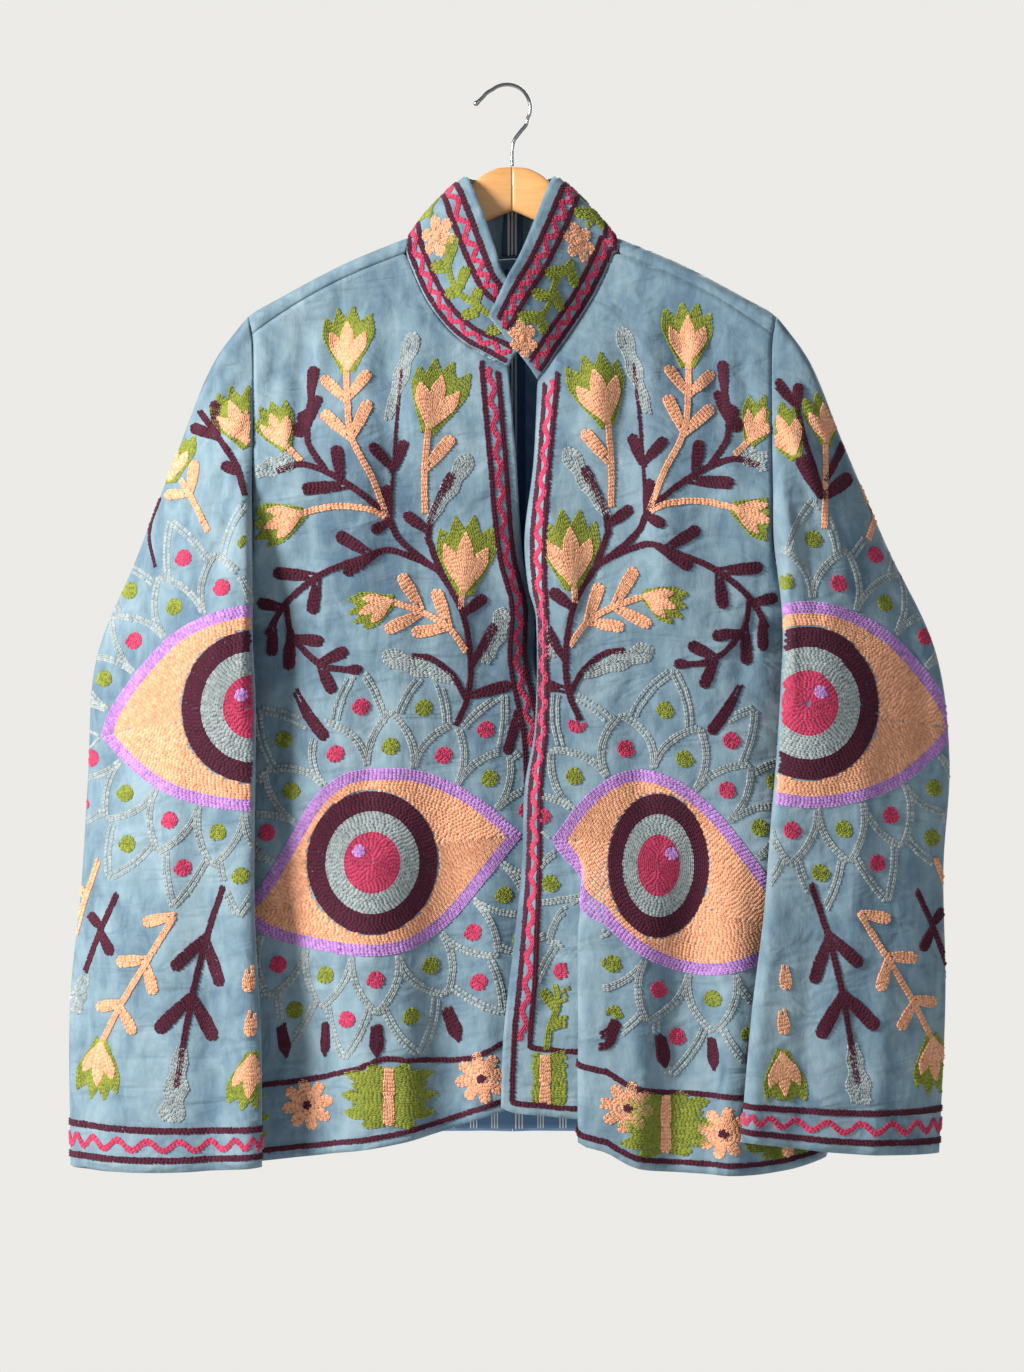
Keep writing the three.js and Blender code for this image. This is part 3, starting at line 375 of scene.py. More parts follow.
sleeveFolds = {
    -1: table(
        sleeveFoldNames,
        (0.02, 0.3, 0.2, 0.06, -5), (0.15, 0.62, 0.3, 0.08, 4.4), (0.45, 1, 0.34, 0.07, -5),
        (0.6, 1, 0.16, 0.07, 4), (0.3, 1, 0.72, 0.08, 4), (0.0, 0.22, 0.12, 0.022, -4.2),
        (0.02, 0.28, 0.07, 0.02, -3.2), (0.0, 0.34, 0.19, 0.022, 3.0), (0.05, 0.32, 0.27, 0.024, -3.8),
        (0.3, 0.7, 0.14, 0.028, -3.4), (0.5, 0.9, 0.26, 0.028, 3.4), (0.68, 1.0, 0.33, 0.024, -3.2),
        (0.7, 1.0, 0.42, 0.03, 3.0), (0.1, 0.5, 0.4, 0.028, 3.2), (0.76, 1.0, 0.1, 0.024, -3.0)),
    1: table(
        sleeveFoldNames,
        (0.02, 0.34, 0.24, 0.06, -5), (0.2, 0.66, 0.3, 0.08, 5), (0.5, 1, 0.36, 0.07, -5),
        (0.62, 1, 0.14, 0.07, 4), (0.3, 1, 0.72, 0.08, 4), (0.0, 0.24, 0.13, 0.022, -4.2),
        (0.02, 0.3, 0.08, 0.02, -3.2), (0.0, 0.36, 0.2, 0.022, 3.0), (0.06, 0.34, 0.29, 0.024, -3.8),
        (0.34, 0.7, 0.12, 0.028, -3.4), (0.5, 0.9, 0.25, 0.028, 3.4), (0.66, 1.0, 0.32, 0.024, -3.2),
        (0.7, 1.0, 0.43, 0.03, 3.0), (0.12, 0.5, 0.4, 0.028, 3.2), (0.75, 1.0, 0.2, 0.024, 3.0)),
}
cuffDip = 3.0
armholeBlend = 0.3
underarmEase = {"run": 40.0, "out": 0.9, "down": 0.9}
underarmLean = {"out": 1.6, "run": 70.0}


# A sleeve's point from its sections alone: lean from the cosine of the angle, depth from its sine.
def sectionPoint(side, angle, at):
    rows = sleeveSections[side]
    value = {name: read(rows, "at", name, at) for name in sectionNames.split()[1:]}
    lean = (1 + np.cos(angle)) / 2
    off = mix(value["inOff"], value["outOff"], lean)
    down = mix(value["inDown"], value["outDown"], lean) + cuffDip * at * np.sin(np.pi * lean)
    stand = np.abs(np.sin(angle)) ** 0.8
    turns = np.mod(angle / (2 * np.pi), 1.0)
    rise = 0.0
    folds = sleeveFolds[side]
    for start, stop, around, width, height in zip(*(folds[n] for n in sleeveFoldNames.split())):
        place = (turns - around) / width
        way = np.clip((at - start) / (stop - start), 0, 1)
        fade = np.sin(np.pi * way) if stop < 1 else ease(way * 2)
        rise = rise + height * np.exp(-(place ** 2)) * fade
    ahead = turns < 0.5
    face = np.where(ahead, -(value["front"] + rise), value["back"] + rise)
    y = mix(value["inY"], value["outY"], lean) + face * stand
    return stack(centreX + side * off, y, -down)


# The armhole as a closed loop: over the top, down the front to the fold line, then round
# under the arm and up the back, each point with the angle that the sleeve gives it.
def armholeLoop(side):
    sideStart = float(reachOfDrop(armTopDown - ridgeDown(armTopOff)))
    sideEnd = float(reachOfDrop(sideHemDown - ridgeDown(sideOff(sideHemDown))))
    armRow = (underarmDown - armTopDown) / (sideHemDown - armTopDown)
    frontOff, frontDown = frontPlaces(side, np.ones(90), np.linspace(0, armRow, 90))
    front = frontPlace(side, frontOff, frontDown)
    underReach = float(reachOfDrop(underarmDown - ridgeDown(sideOff(underarmDown))))
    lastRow = (underReach + sideStart) / (sideStart + sideEnd)
    back = backPoints(side, np.ones(120), np.linspace(0, lastRow, 120))[0]
    top = int(np.argmax(back[:, 2]))
    loop = np.concatenate([back[top:0:-1], front, back[-2:top:-1]])
    low = ease((-loop[:, 2] - foldLineDown) / underarmEase["run"])
    loop[:, 0] += side * underarmEase["out"] * low
    loop[:, 2] -= underarmEase["down"] * low
    lengths = lengthsOf(loop)
    total = lengths[-1] + np.linalg.norm(loop[0] - loop[-1])
    half = len(loop) // 2
    foldIndex = int(np.argmin(np.abs(loop[:half, 2] + foldLineDown)))
    angles = np.where(
        lengths <= lengths[foldIndex],
        np.pi * lengths / lengths[foldIndex],
        np.pi * (1 + (lengths - lengths[foldIndex]) / (total - lengths[foldIndex])))
    return angles, loop


armholes = {side: armholeLoop(side) for side in (-1, 1)}
clearBy = 0.03


# A sleeve's point: its section, drawn to the armhole's loop near the top and kept off the body.
def sleevePoint(side, angle, at):
    angle = np.mod(angle, 2 * np.pi)
    angles, loop = armholes[side]
    held = (1 - ease(at / armholeBlend))[..., None]
    rim = np.stack([np.interp(angle, angles, loop[:, k], period=2 * np.pi) for k in range(3)], axis=-1)
    point = sectionPoint(side, angle, at)
    point = point + held * (rim - sectionPoint(side, angle, np.zeros_like(at)))
    off = side * (point[..., 0] - centreX)
    down = -point[..., 2]
    edge = sideOff(down) + underarmLean["out"] * ease((down - foldLineDown) / underarmLean["run"])
    bodyY = frontPlace(side, np.minimum(off, edge), down)[..., 1]
    clear = bodyClear * ease(at / clearBy)
    forward = point[..., 1] - (bodyY - clear)
    outward = edge + clear - off
    inside = (down > foldLineDown) & (outward > 0) & (forward > 0) & (at > 0)
    ahead = inside & (forward < outward)
    point[..., 1] -= np.where(ahead, forward, 0)
    point[..., 0] += side * np.where(inside & ~ahead, outward, 0)
    return point


# Lean of an off across a sleeve at a share along it: 0 at the inner edge, 1 at the outer, and
# beyond them where a place runs on round the back.
def leanOf(rows, off, at):
    inOff, outOff = (read(rows, "at", name, at) for name in ("inOff", "outOff"))
    return np.clip((off - inOff) / (outOff - inOff), -0.999, 1.999)


# The share along a sleeve for a place, found by turns: it grows by the miss over the length.
sleeveGuess = {"from": 250, "run": 550.0, "least": 0.02, "turns": 14, "step": 0.8, "length": 620.0}


def sleeveAt(side, off, down):
    rows = sleeveSections[side]
    at = np.clip((down - sleeveGuess["from"]) / sleeveGuess["run"], sleeveGuess["least"], 1.0)
    for _ in range(sleeveGuess["turns"]):
        inDown, outDown = (read(rows, "at", name, at) for name in ("inDown", "outDown"))
        error = down - mix(inDown, outDown, leanOf(rows, off, at))
        at = np.clip(at + sleeveGuess["step"] * error / sleeveGuess["length"], 0.0, 1.0)
    return at


# Where a place lies on a sleeve, as its lean across and its share along. Near the armhole, where
# the sections are drawn to the loop, it is found by stepping: the miss is divided by the slopes.
sleeveSearch = {
    "until": 0.42, "past": -0.3, "turns": 10, "leanStep": 0.01, "atStep": 0.004, "leanMost": 0.15,
    "atMost": 0.06, "lean": (0.01, 0.985), "at": (0.004, 0.6)}


def sleeveShares(side, off, down, face=1):
    at = sleeveAt(side, off, down)
    lean = leanOf(sleeveSections[side], off, at)
    near = (at < sleeveSearch["until"]) & (lean > sleeveSearch["past"])
    miss = np.zeros_like(at)
    if not near.any():
        return lean, at, miss
    wanted = np.stack([off[near], down[near]], axis=-1)
    found = np.stack([np.clip(lean[near], 0.1, 0.9), np.clip(at[near], 0.05, 1)], axis=-1)

    def placed(shares):
        point = leanPoint(side, face * shares[:, 0], shares[:, 1])
        return np.stack([side * (point[:, 0] - centreX), -point[:, 2]], axis=-1)

    for _ in range(sleeveSearch["turns"]):
        here = placed(found)
        error = wanted - here
        byLean = (placed(found + [sleeveSearch["leanStep"], 0]) - here) / sleeveSearch["leanStep"]
        byAt = (placed(found + [0, sleeveSearch["atStep"]]) - here) / sleeveSearch["atStep"]
        cross = byLean[:, 0] * byAt[:, 1] - byLean[:, 1] * byAt[:, 0]
        cross = np.where(np.abs(cross) < 1, 1.0, cross)
        leanStep = (error[:, 0] * byAt[:, 1] - error[:, 1] * byAt[:, 0]) / cross
        atStep = (byLean[:, 0] * error[:, 1] - byLean[:, 1] * error[:, 0]) / cross
        leanMost, atMost = sleeveSearch["leanMost"], sleeveSearch["atMost"]
        found[:, 0] += np.clip(leanStep, -leanMost, leanMost)
        found[:, 1] += np.clip(atStep, -atMost, atMost)
        found[:, 0] = np.clip(found[:, 0], *sleeveSearch["lean"])
        found[:, 1] = np.clip(found[:, 1], *sleeveSearch["at"])
    lean[near], at[near] = found.T
    miss[near] = np.hypot(*(wanted - placed(found)).T)
    return lean, at, miss


# A sleeve's point at a place on one of its faces.
def sleevePlace(side, off, down, face=1):
    lean, at, _ = sleeveShares(side, off, down, face)
    return leanPoint(side, face * lean, at)


# A sleeve's point for a lean across; below 0 and above 1 it runs on round the other face.
def leanPoint(side, lean, at):
    inner = np.clip(np.where(lean < 0, -lean, np.where(lean > 1, 2 - lean, lean)), 0, 1)
    angle = np.arccos(2 * inner - 1)
    angle = np.where(lean < 0, 2 * np.pi - angle, np.where(lean > 1, -angle, angle))
    return sleevePoint(side, angle, at)


collarTop = table(
    "share x y z",
    (0, 31, -25, -163), (0.1, 1, -34, -148), (0.2, -10, -31, -121), (0.25, -19, -24, -94),
    (0.29, -28, -15, -72), (0.33, -32, -3, -68), (0.4, -22, 10, -69), (0.495, 4, 16, -72),
    (0.59, 28, 10, -69), (0.66, 38, -3, -67.5), (0.71, 33, -15, -72), (0.78, 23, -31, -98),
    (0.85, 10, -43, -130), (0.92, 0, -51, -149), (1, -13, -57, -178))
collarCrown = 4.0
collarWidth = 58.0


# The neck seam from free edge to free edge: shares of its length, points and length.
def neckSeam(count=240):
    frontShares = np.linspace(0, neckShare - 1e-6, count)
    backShares = np.linspace(neckShare - 1e-6, 0, count)
    zero = np.zeros(count)
    parts = []
    for side in (-1, 1):
        front = frontPlace(side, *frontPlaces(side, frontShares, zero))
        back = backPoints(side, backShares, zero)[0]
        parts.append(np.concatenate([front, back[1:]]))
    seam = np.concatenate([parts[0], parts[1][::-1][1:]])
    lengths = lengthsOf(seam)
    return lengths / lengths[-1], seam, lengths[-1]


neckShares, neckPoints, neckLength = neckSeam()


# The collar at a share along the neck seam and a rise from it, crowned a little outwards.
def collarPoint(share, rise):
    low = np.stack([np.interp(share, neckShares, neckPoints[:, k]) for k in range(3)], axis=-1)
    high = stack(*(read(collarTop, "share", k, share) for k in "xyz"))
    point = low + (high - low) * rise[..., None]
    out = stack(point[..., 0] - centreX, point[..., 1], np.zeros_like(share))
    out = unit(out, 1e-6)
    return point + out * (collarCrown * 4 * rise * (1 - rise))[..., None]


# Mesh and material helpers.

def linear(hexColour, alpha=1.0):
    values = [int(hexColour[k:k + 2], 16) / 255 for k in (1, 3, 5)]
    return tuple(v / 12.92 if v <= 0.04045 else ((v + 0.055) / 1.055) ** 2.4 for v in values) + (alpha,)


# A node of a material or world, with its sockets linked or set and its settings.
def node(material, kind, links=None, **settings):
    tree = material.node_tree
    made = tree.nodes.new(kind)
    for name, value in settings.items():
        setattr(made, name, value)
    for name, value in (links or {}).items():
        if isinstance(value, bpy.types.NodeSocket):
            tree.links.new(value, made.inputs[name])
        else:
            made.inputs[name].default_value = value
    return made


# A material and its shader.
def newMaterial(name):
    material = bpy.data.materials.new(name)
    material.use_nodes = True
    shader = material.node_tree.nodes["Principled BSDF"]
    return material, shader


# Colours between stops of position and colour.
def ramp(material, factor, *stops):
    made = node(material, "ShaderNodeValToRGB", {"Fac": factor})
    elements = made.color_ramp.elements
    while len(elements) < len(stops):
        elements.new(0.5)
    for element, (position, colour) in zip(elements, stops):
        element.position = position
        element.color = linear(colour)
    return made.outputs["Color"]


# Links a source to a socket of the shader.
def link(material, source, shader, socket):
    material.node_tree.links.new(source, shader.inputs[socket])


# Turns a mesh's faces outwards, judged by the mean of its normals against a centre.
def facesOut(points, faces, centre):
    corners = points[faces]
    across = np.cross(corners[:, 1] - corners[:, 0], corners[:, 2] - corners[:, 0])
    outward = ((corners.mean(axis=1) - centre) * across).sum()
    return faces if outward >= 0 else faces[:, ::-1]


# An object from points in mm and faces with the same number of sides each.
def buildMesh(name, points, faces, materials, uv=None, smooth=True, faceMaterial=None):
    mesh = bpy.data.meshes.new(name)
    mesh.vertices.add(len(points))
    mesh.vertices.foreach_set("co", (points * 0.001).astype(np.float32).ravel())
    sides = faces.shape[1]
    mesh.loops.add(faces.size)
    mesh.loops.foreach_set("vertex_index", faces.astype(np.int32).ravel())
    mesh.polygons.add(len(faces))
    mesh.polygons.foreach_set("loop_start", np.arange(0, faces.size, sides, dtype=np.int32))
    mesh.polygons.foreach_set("use_smooth", np.full(len(faces), smooth))
    for material in materials:
        mesh.materials.append(material)
    if faceMaterial is not None:
        mesh.polygons.foreach_set("material_index", faceMaterial.astype(np.int32))
    if uv is not None:
        layer = mesh.uv_layers.new(name="clothMm")
        layer.data.foreach_set("uv", uv[faces.ravel()].astype(np.float32).ravel())
    mesh.update()
    mesh.validate()
    made = bpy.data.objects.new(name, mesh)
    bpy.context.scene.collection.objects.link(made)
    return made


# The quads of a grid of rows by columns; a wrapped grid joins its last column to its first.
def gridFaces(rows, columns, wraps=False):
    j, i = np.meshgrid(np.arange(rows - 1), np.arange(columns if wraps else columns - 1), indexing="ij")
    nextI = (i + 1) % columns
    a = j * columns + i
    b = j * columns + nextI
    return np.stack([a, b, b + columns, a + columns], axis=-1).reshape(-1, 4)


# Gives a sheet its wall, which goes inwards from the faces; the inner side can be of another slot.
def walled(piece, wall, innerSlots=0):
    shell = piece.modifiers.new("wall", "SOLIDIFY")
    shell.thickness = wall * 0.001
    shell.offset = -1.0
    shell.use_even_offset = False
    shell.material_offset = innerSlots
    return piece


# A cloth sheet from a grid of points: the outer face is the grid, the wall goes inwards.
def clothSheet(name, grid, uv, centre, wall, material, wraps=False, inside=()):
    rows, columns = grid.shape[:2]
    points = grid.reshape(-1, 3)
    faces = gridFaces(rows, columns, wraps)
    across = np.broadcast_to(centre, grid.shape[:1] + (3,))[faces[:, 0] // columns]
    faces = facesOut(points, faces, across)
    piece = buildMesh(name, points, faces, [material, *inside], uv.reshape(-1, 2))
    return walled(piece, wall, len(inside))


# Puts a piece on the body and hides the nodes of the model that it stands for.
def finishPiece(piece, slotName, *nodes):
    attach(piece, "root")
    if nodes:
        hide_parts(*nodes)
    return piece


# Noise with a given grain in mm; the scale is 1000 over the grain, as the place is in metres.
def noise(material, place, grainMm, detail, **more):
    inputs = {"Vector": place, "Scale": 1000 / grainMm, "Detail": detail, **more}
    return node(material, "ShaderNodeTexNoise", inputs).outputs["Fac"]


# The place scaled along each axis.
def stretched(material, place, scale):
    return node(material, "ShaderNodeMapping", {"Vector": place, "Scale": scale}).outputs["Vector"]


# The mean of two values: half of their sum.
def meanOf(material, first, second):
    total = node(material, "ShaderNodeMath", {0: first, 1: second}, operation="ADD").outputs[0]
    return node(material, "ShaderNodeMath", {0: total, 1: 0.5}, operation="MULTIPLY").outputs[0]


# A normal raised by a height, with its strength and its distance in metres.
def bumped(material, height, strength, distance, **more):
    inputs = {"Height": height, "Strength": strength, "Distance": distance, **more}
    return node(material, "ShaderNodeBump", inputs).outputs[0]


# Gives a shader its colour, its bumps and its plain values.
def finishShader(material, shader, colour, normal, **values):
    if colour is not None:
        link(material, colour, shader, "Base Color")
    link(material, normal, shader, "Normal")
    names = {
        "roughness": "Roughness", "specular": "Specular IOR Level", "sheen": "Sheen Weight",
        "sheenRoughness": "Sheen Roughness", "coat": "Coat Weight", "coatRoughness": "Coat Roughness",
        "metallic": "Metallic"}
    for name, value in values.items():
        shader.inputs[names[name]].default_value = value


# Cotton velvet, woven and cut, brushed by wear: a soft pile that goes pale where it leans to
# the light and dark where it stands towards the eye.
velvetLook = {
    "base": "#728c9c", "pale": "#879fac", "dark": "#587286", "sheen": "#d6e8f2", "patchMm": 75.0,
    "streakMm": 15.0, "pileMm": 1.1, "wrinkleMm": 26.0, "wrinkleRise": 0.009, "crushMm": 8.0,
    "crushRise": 0.0016, "brushed": (1.0, 1.0, 0.45), "lying": (0.55, 0.55, 1.3)}


def velvetMaterial(name, look):
    material, shader = newMaterial(name)
    place = node(material, "ShaderNodeTexCoord").outputs["Object"]
    brushed = stretched(material, place, look["brushed"])
    patches = noise(material, brushed, look["patchMm"], 3.0, Roughness=0.6)
    streaks = noise(material, brushed, look["streakMm"], 4.0, Roughness=0.6, Distortion=0.6)
    half = meanOf(material, patches, streaks)
    colour = ramp(material, half, (0.38, look["dark"]), (0.5, look["base"]), (0.62, look["pale"]))
    pile = noise(material, place, look["pileMm"], 2.0)
    crush = noise(material, brushed, look["crushMm"], 3.0)
    lying = stretched(material, place, look["lying"])
    wrinkles = noise(material, lying, look["wrinkleMm"], 2.0, Distortion=0.8)
    fine = bumped(material, pile, 0.5, 0.0004)
    crushed = bumped(material, crush, 0.5, look["crushRise"], Normal=fine)
    broad = bumped(material, wrinkles, 0.6, look["wrinkleRise"], Normal=crushed)
    finishShader(
        material, shader, colour, broad, roughness=0.85, specular=0.15, sheen=0.8, sheenRoughness=0.4)
    shader.inputs["Sheen Tint"].default_value = linear(look["sheen"])
    return material


# Woven cotton, dull and close, with white warp stripes in threes along its own length.
tapeLook = {
    "ground": "#4d6792", "white": "#fbfaf6", "repeatMm": 20.0, "first": 0.3, "gap": 0.15, "share": 0.08}
hemLook = {
    "ground": "#5f83a6", "white": "#e4e5e0", "repeatMm": 17.0, "first": 0.1, "gap": 0.13, "share": 0.05}
stripeEdge = 0.005


def stripedMaterial(name, look):
    material, shader = newMaterial(name)
    cloth = node(material, "ShaderNodeUVMap", uv_map="clothMm").outputs["UV"]
    parts = node(material, "ShaderNodeSeparateXYZ", {"Vector": cloth})
    sides = {0: parts.outputs["X"], 1: look["repeatMm"]}
    turns = node(material, "ShaderNodeMath", sides, operation="DIVIDE").outputs[0]
    place = node(material, "ShaderNodeMath", {0: turns}, operation="FRACT").outputs[0]
    stops = [(0.0, look["ground"])]
    for k in range(3):
        start = look["first"] + k * look["gap"]
        stops += [(start, look["ground"]), (start + stripeEdge, look["white"])]
        stops += [
            (start + look["share"], look["white"]), (start + look["share"] + stripeEdge, look["ground"])]
    colour = ramp(material, place, *stops)
    weave = node(material, "ShaderNodeTexNoise", {"Vector": cloth, "Scale": 1.4, "Detail": 2.0})
    rise = bumped(material, weave.outputs["Fac"], 0.4, 0.0003)
    finishShader(material, shader, colour, rise, roughness=0.8, specular=0.2)
    return material


# The back of the velvet: a plain cotton twill, flat and a deeper blue, with fine slanting ribs.
liningLook = {"blue": "#86a8cc", "deep": "#789cc2", "ribMm": 1.6}


def twillMaterial(name, look):
    material, shader = newMaterial(name)
    place = node(material, "ShaderNodeTexCoord").outputs["Object"]
    inputs = {"Vector": place, "Scale": 1000 / look["ribMm"] / 20, "Distortion": 1.0}
    ribs = node(
        material, "ShaderNodeTexWave", inputs, wave_type="BANDS", bands_direction="DIAGONAL").outputs["Fac"]
    colour = ramp(material, ribs, (0.0, look["deep"]), (1.0, look["blue"]))
    rise = bumped(material, ribs, 0.3, 0.0003)
    finishShader(material, shader, colour, rise, roughness=0.85, specular=0.2)
    return material


# Planed beech with a clear satin lacquer: pale straight grain along the arm, soft highlights.
woodLook = {
    "pale": "#e6b47a", "mid": "#dfa76a", "dark": "#d2975a", "grainMm": 2.2, "toneMm": 26.0,
    "along": (0.05, 1.0, 1.0)}


def woodMaterial(name, look):
    material, shader = newMaterial(name)
    place = node(material, "ShaderNodeTexCoord").outputs["Object"]
    along = stretched(material, place, look["along"])
    grain = noise(material, along, look["grainMm"], 4.0, Roughness=0.6, Distortion=0.4)
    half = meanOf(material, grain, noise(material, along, look["toneMm"], 2.0))
    colour = ramp(material, half, (0.3, look["dark"]), (0.5, look["mid"]), (0.7, look["pale"]))
    rise = bumped(material, grain, 0.1, 0.0002)
    finishShader(material, shader, colour, rise, roughness=0.42, coat=0.35, coatRoughness=0.25)
    return material


# Bright drawn steel wire with a light nickel plating: mirror-like with faint drawing marks.
steelLook = {"colour": "#9ea2a6", "marks": 600.0}


def steelMaterial(name, look):
    material, shader = newMaterial(name)
    place = node(material, "ShaderNodeTexCoord").outputs["Object"]
    inputs = {"Vector": place, "Scale": look["marks"], "Detail": 2.0}
    marks = node(material, "ShaderNodeTexNoise", inputs).outputs["Fac"]
    finishShader(material, shader, None, bumped(material, marks, 0.06, 0.0001), metallic=1.0, roughness=0.2)
    shader.inputs["Base Color"].default_value = linear(look["colour"])
    return material


velvet = velvetMaterial("brushedCottonVelvet", velvetLook)
stripedTape = stripedMaterial("wovenStripedTape", tapeLook)
hemCotton = stripedMaterial("wovenHemCotton", hemLook)
twill = twillMaterial("cottonTwillBack", liningLook)
beech = woodMaterial("lacqueredBeech", woodLook)
steel = steelMaterial("nickelledSteelWire", steelLook)
print("materials made")


# Cloth pieces.

frontRows = 164
backRows = 170
sleeveStep = {"around": 132, "along": 150, "near": 46, "nearShare": 0.2, "first": 0.0015}


# Shares across a front, closer together at the placket.
def frontShares(count=64):
    near = np.linspace(0, 0.12, 12, endpoint=False)
    return np.concatenate([near, np.linspace(0.12, 1.0, count - 12)])


# Normals of a grid: the cross product of its slopes down and across.
def gridNormals(grid, wraps=False):
    if wraps:
        right = np.roll(grid, -1, axis=1) - np.roll(grid, 1, axis=1)
    else:
        right = np.gradient(grid, axis=1)
    down = np.gradient(grid, axis=0)
    normal = np.cross(down, right)
    return unit(normal)


# Cloth places in mm, summed along the rows and down the columns.
def lengthsUv(grid):
    across = np.linalg.norm(np.diff(grid, axis=1), axis=-1)
    along = np.linalg.norm(np.diff(grid, axis=0), axis=-1)
    u = np.concatenate([np.zeros((grid.shape[0], 1)), np.cumsum(across, axis=1)], axis=1)
    v = np.concatenate([np.zeros((1, grid.shape[1])), np.cumsum(along, axis=0)], axis=0)
    return np.stack([u, v], axis=-1)


# A front's points, row by row.
def frontGrid(side):
    share, row = np.meshgrid(frontShares(), np.linspace(0, 1, frontRows))
    return frontPlace(side, *frontPlaces(side, share, row))


# A back half's points, with closer rows over the ridge.
def backGrid(side):
    rows = np.concatenate([np.linspace(0, 0.06, 14, endpoint=False), np.linspace(0.06, 1, backRows - 14)])
    share, row = np.meshgrid(np.linspace(0, 1, 60), rows)
    return backPoints(side, share, row)[0]


# The middle of each row, at the body's middle plane.
def bodyCentre(grid):
    middle = grid.mean(axis=1)
    middle[:, 1] = 0
    return middle


# Draws the edge points of a sheet back from the seam, so that neighbours stay just apart.
def drawnIn(grid, gap, sides=(True, True, True, True)):
    result = grid.copy()
    edges = ((0, slice(None), 1), (-1, slice(None), -2))
    for wanted, (edge, every, inner) in zip(sides[:2], edges):
        if wanted:
            way = grid[inner, every] - grid[edge, every]
            result[edge, every] += unit(way) * gap
    for wanted, edge, inner in zip(sides[2:], (0, -1), (1, -2)):
        if wanted:
            way = grid[:, inner] - grid[:, edge]
            result[:, edge] += unit(way) * gap
    return result


# Sinks a sheet a little along its seams, as a stitched and turned seam does: the depth falls away
# with the distance in from the edge.
seamValley = {"top": 0.5, "left": 1.1, "right": 1.1, "run": 3.6, "apart": 0.03, "reach": 3.0}


def seamed(grid, outFrom, sides):
    normals = gridNormals(grid)
    if ((grid - outFrom[:, None, :]) * normals).sum() < 0:
        normals = -normals
    across = np.cumsum(np.linalg.norm(np.diff(grid, axis=1, prepend=grid[:, :1]), axis=-1), axis=1)
    along = np.cumsum(np.linalg.norm(np.diff(grid, axis=0, prepend=grid[:1]), axis=-1), axis=0)
    depth = np.zeros(grid.shape[:2])
    distances = {"top": along, "left": across, "right": across[:, -1:] - across}
    for name in sides:
        depth = np.maximum(depth, seamValley[name] * np.exp(-((distances[name] / seamValley["run"]) ** 1.3)))
    return grid - normals * depth[..., None]


# Brings the first row of a front up to the back's edge, where it meets that at the shoulder seam.
def metAtShoulder(grid, edge):
    x = np.linspace(edge[0, 0], edge[-1, 0], 3000)
    order = np.argsort(edge[:, 0])
    fine = np.stack([np.interp(x, edge[order, 0], edge[order, k]) for k in range(3)], axis=-1)
    apart = np.linalg.norm(grid[0][:, None] - fine, axis=-1)
    nearest = fine[apart.argmin(axis=1)]
    meets = (apart.min(axis=1) < seamValley["reach"]) & (np.abs(grid[0, :, 0] - centreX) > neckOff + 1)
    gap = nearest - grid[0]
    length = np.linalg.norm(gap, axis=-1, keepdims=True)
    grid[0] += np.where(meets[:, None], gap * (1 - seamValley["apart"] / np.maximum(length, 0.1)), 0)
    return grid


sideNames = {-1: "right", 1: "left"}
for side in (-1, 1):
    name = sideNames[side]
    back = backGrid(side)
    back = drawnIn(seamed(back, bodyCentre(back), ("top", "left", "right")), seamValley["apart"])
    grid = frontGrid(side)
    grid = drawnIn(seamed(grid, bodyCentre(grid), ("top", "right")), seamValley["apart"])
    grid = metAtShoulder(grid, back[0])
    for panel, points in (("front", grid), ("back", back)):
        piece = clothSheet(
            panel + "Cloth." + name, points, lengthsUv(points), bodyCentre(points), velvetWall, velvet,
            inside=(twill,))
        finishPiece(piece, "velvet", panel + "_" + name)
    near = np.linspace(sleeveStep["first"], sleeveStep["nearShare"], sleeveStep["near"], endpoint=False)
    far = np.linspace(sleeveStep["nearShare"], 1, sleeveStep["along"] - sleeveStep["near"])
    angle, at = np.meshgrid(
        np.linspace(0, 2 * np.pi, sleeveStep["around"], endpoint=False), np.concatenate([near, far]))
    grid = sleevePoint(side, angle, at)
    grid = seamed(grid, grid.mean(axis=1), ("top",))
    piece = clothSheet(
        "sleeveCloth." + name, grid, np.stack([angle * 90, at * 600], axis=-1), grid.mean(axis=1),
        velvetWall, velvet, wraps=True, inside=(twill,))
    finishPiece(piece, "velvet", "sleeve_" + name)
share, rise = np.meshgrid(np.linspace(0.001, 0.999, 170), np.linspace(1, 0.0012, 24))
collarGrid = collarPoint(share, rise)
centre = stack(np.full(24, centreX), np.full(24, -10.0), collarGrid[..., 2].mean(axis=1))
finishPiece(
    clothSheet("collarCloth", collarGrid, lengthsUv(collarGrid), centre, 2.4, velvet), "velvet", "collar")
print("cloth made")


# The strips inside the coat, and the hanger.

facingLook = {"wall": 1.1, "stand": 2.3}
facingProud = table("down proud", (224, 4.2), (270, 3.4), (300, 0.2), (340, -1.5), (760, -2))


def insideStrip(name, grid, normals, stand, wall, material, uv):
    outer = grid - normals * stand
    points = outer.reshape(-1, 3)
    faces = gridFaces(*grid.shape[:2])
    toward = normals.reshape(-1, 3)[faces[:, 0]]
    corners = points[faces]
    turned = np.cross(corners[:, 1] - corners[:, 0], corners[:, 2] - corners[:, 0])
    if (turned * toward).sum() < 0:
        faces = faces[:, ::-1]
    return walled(buildMesh(name, points, faces, [material], uv.reshape(-1, 2)), wall)


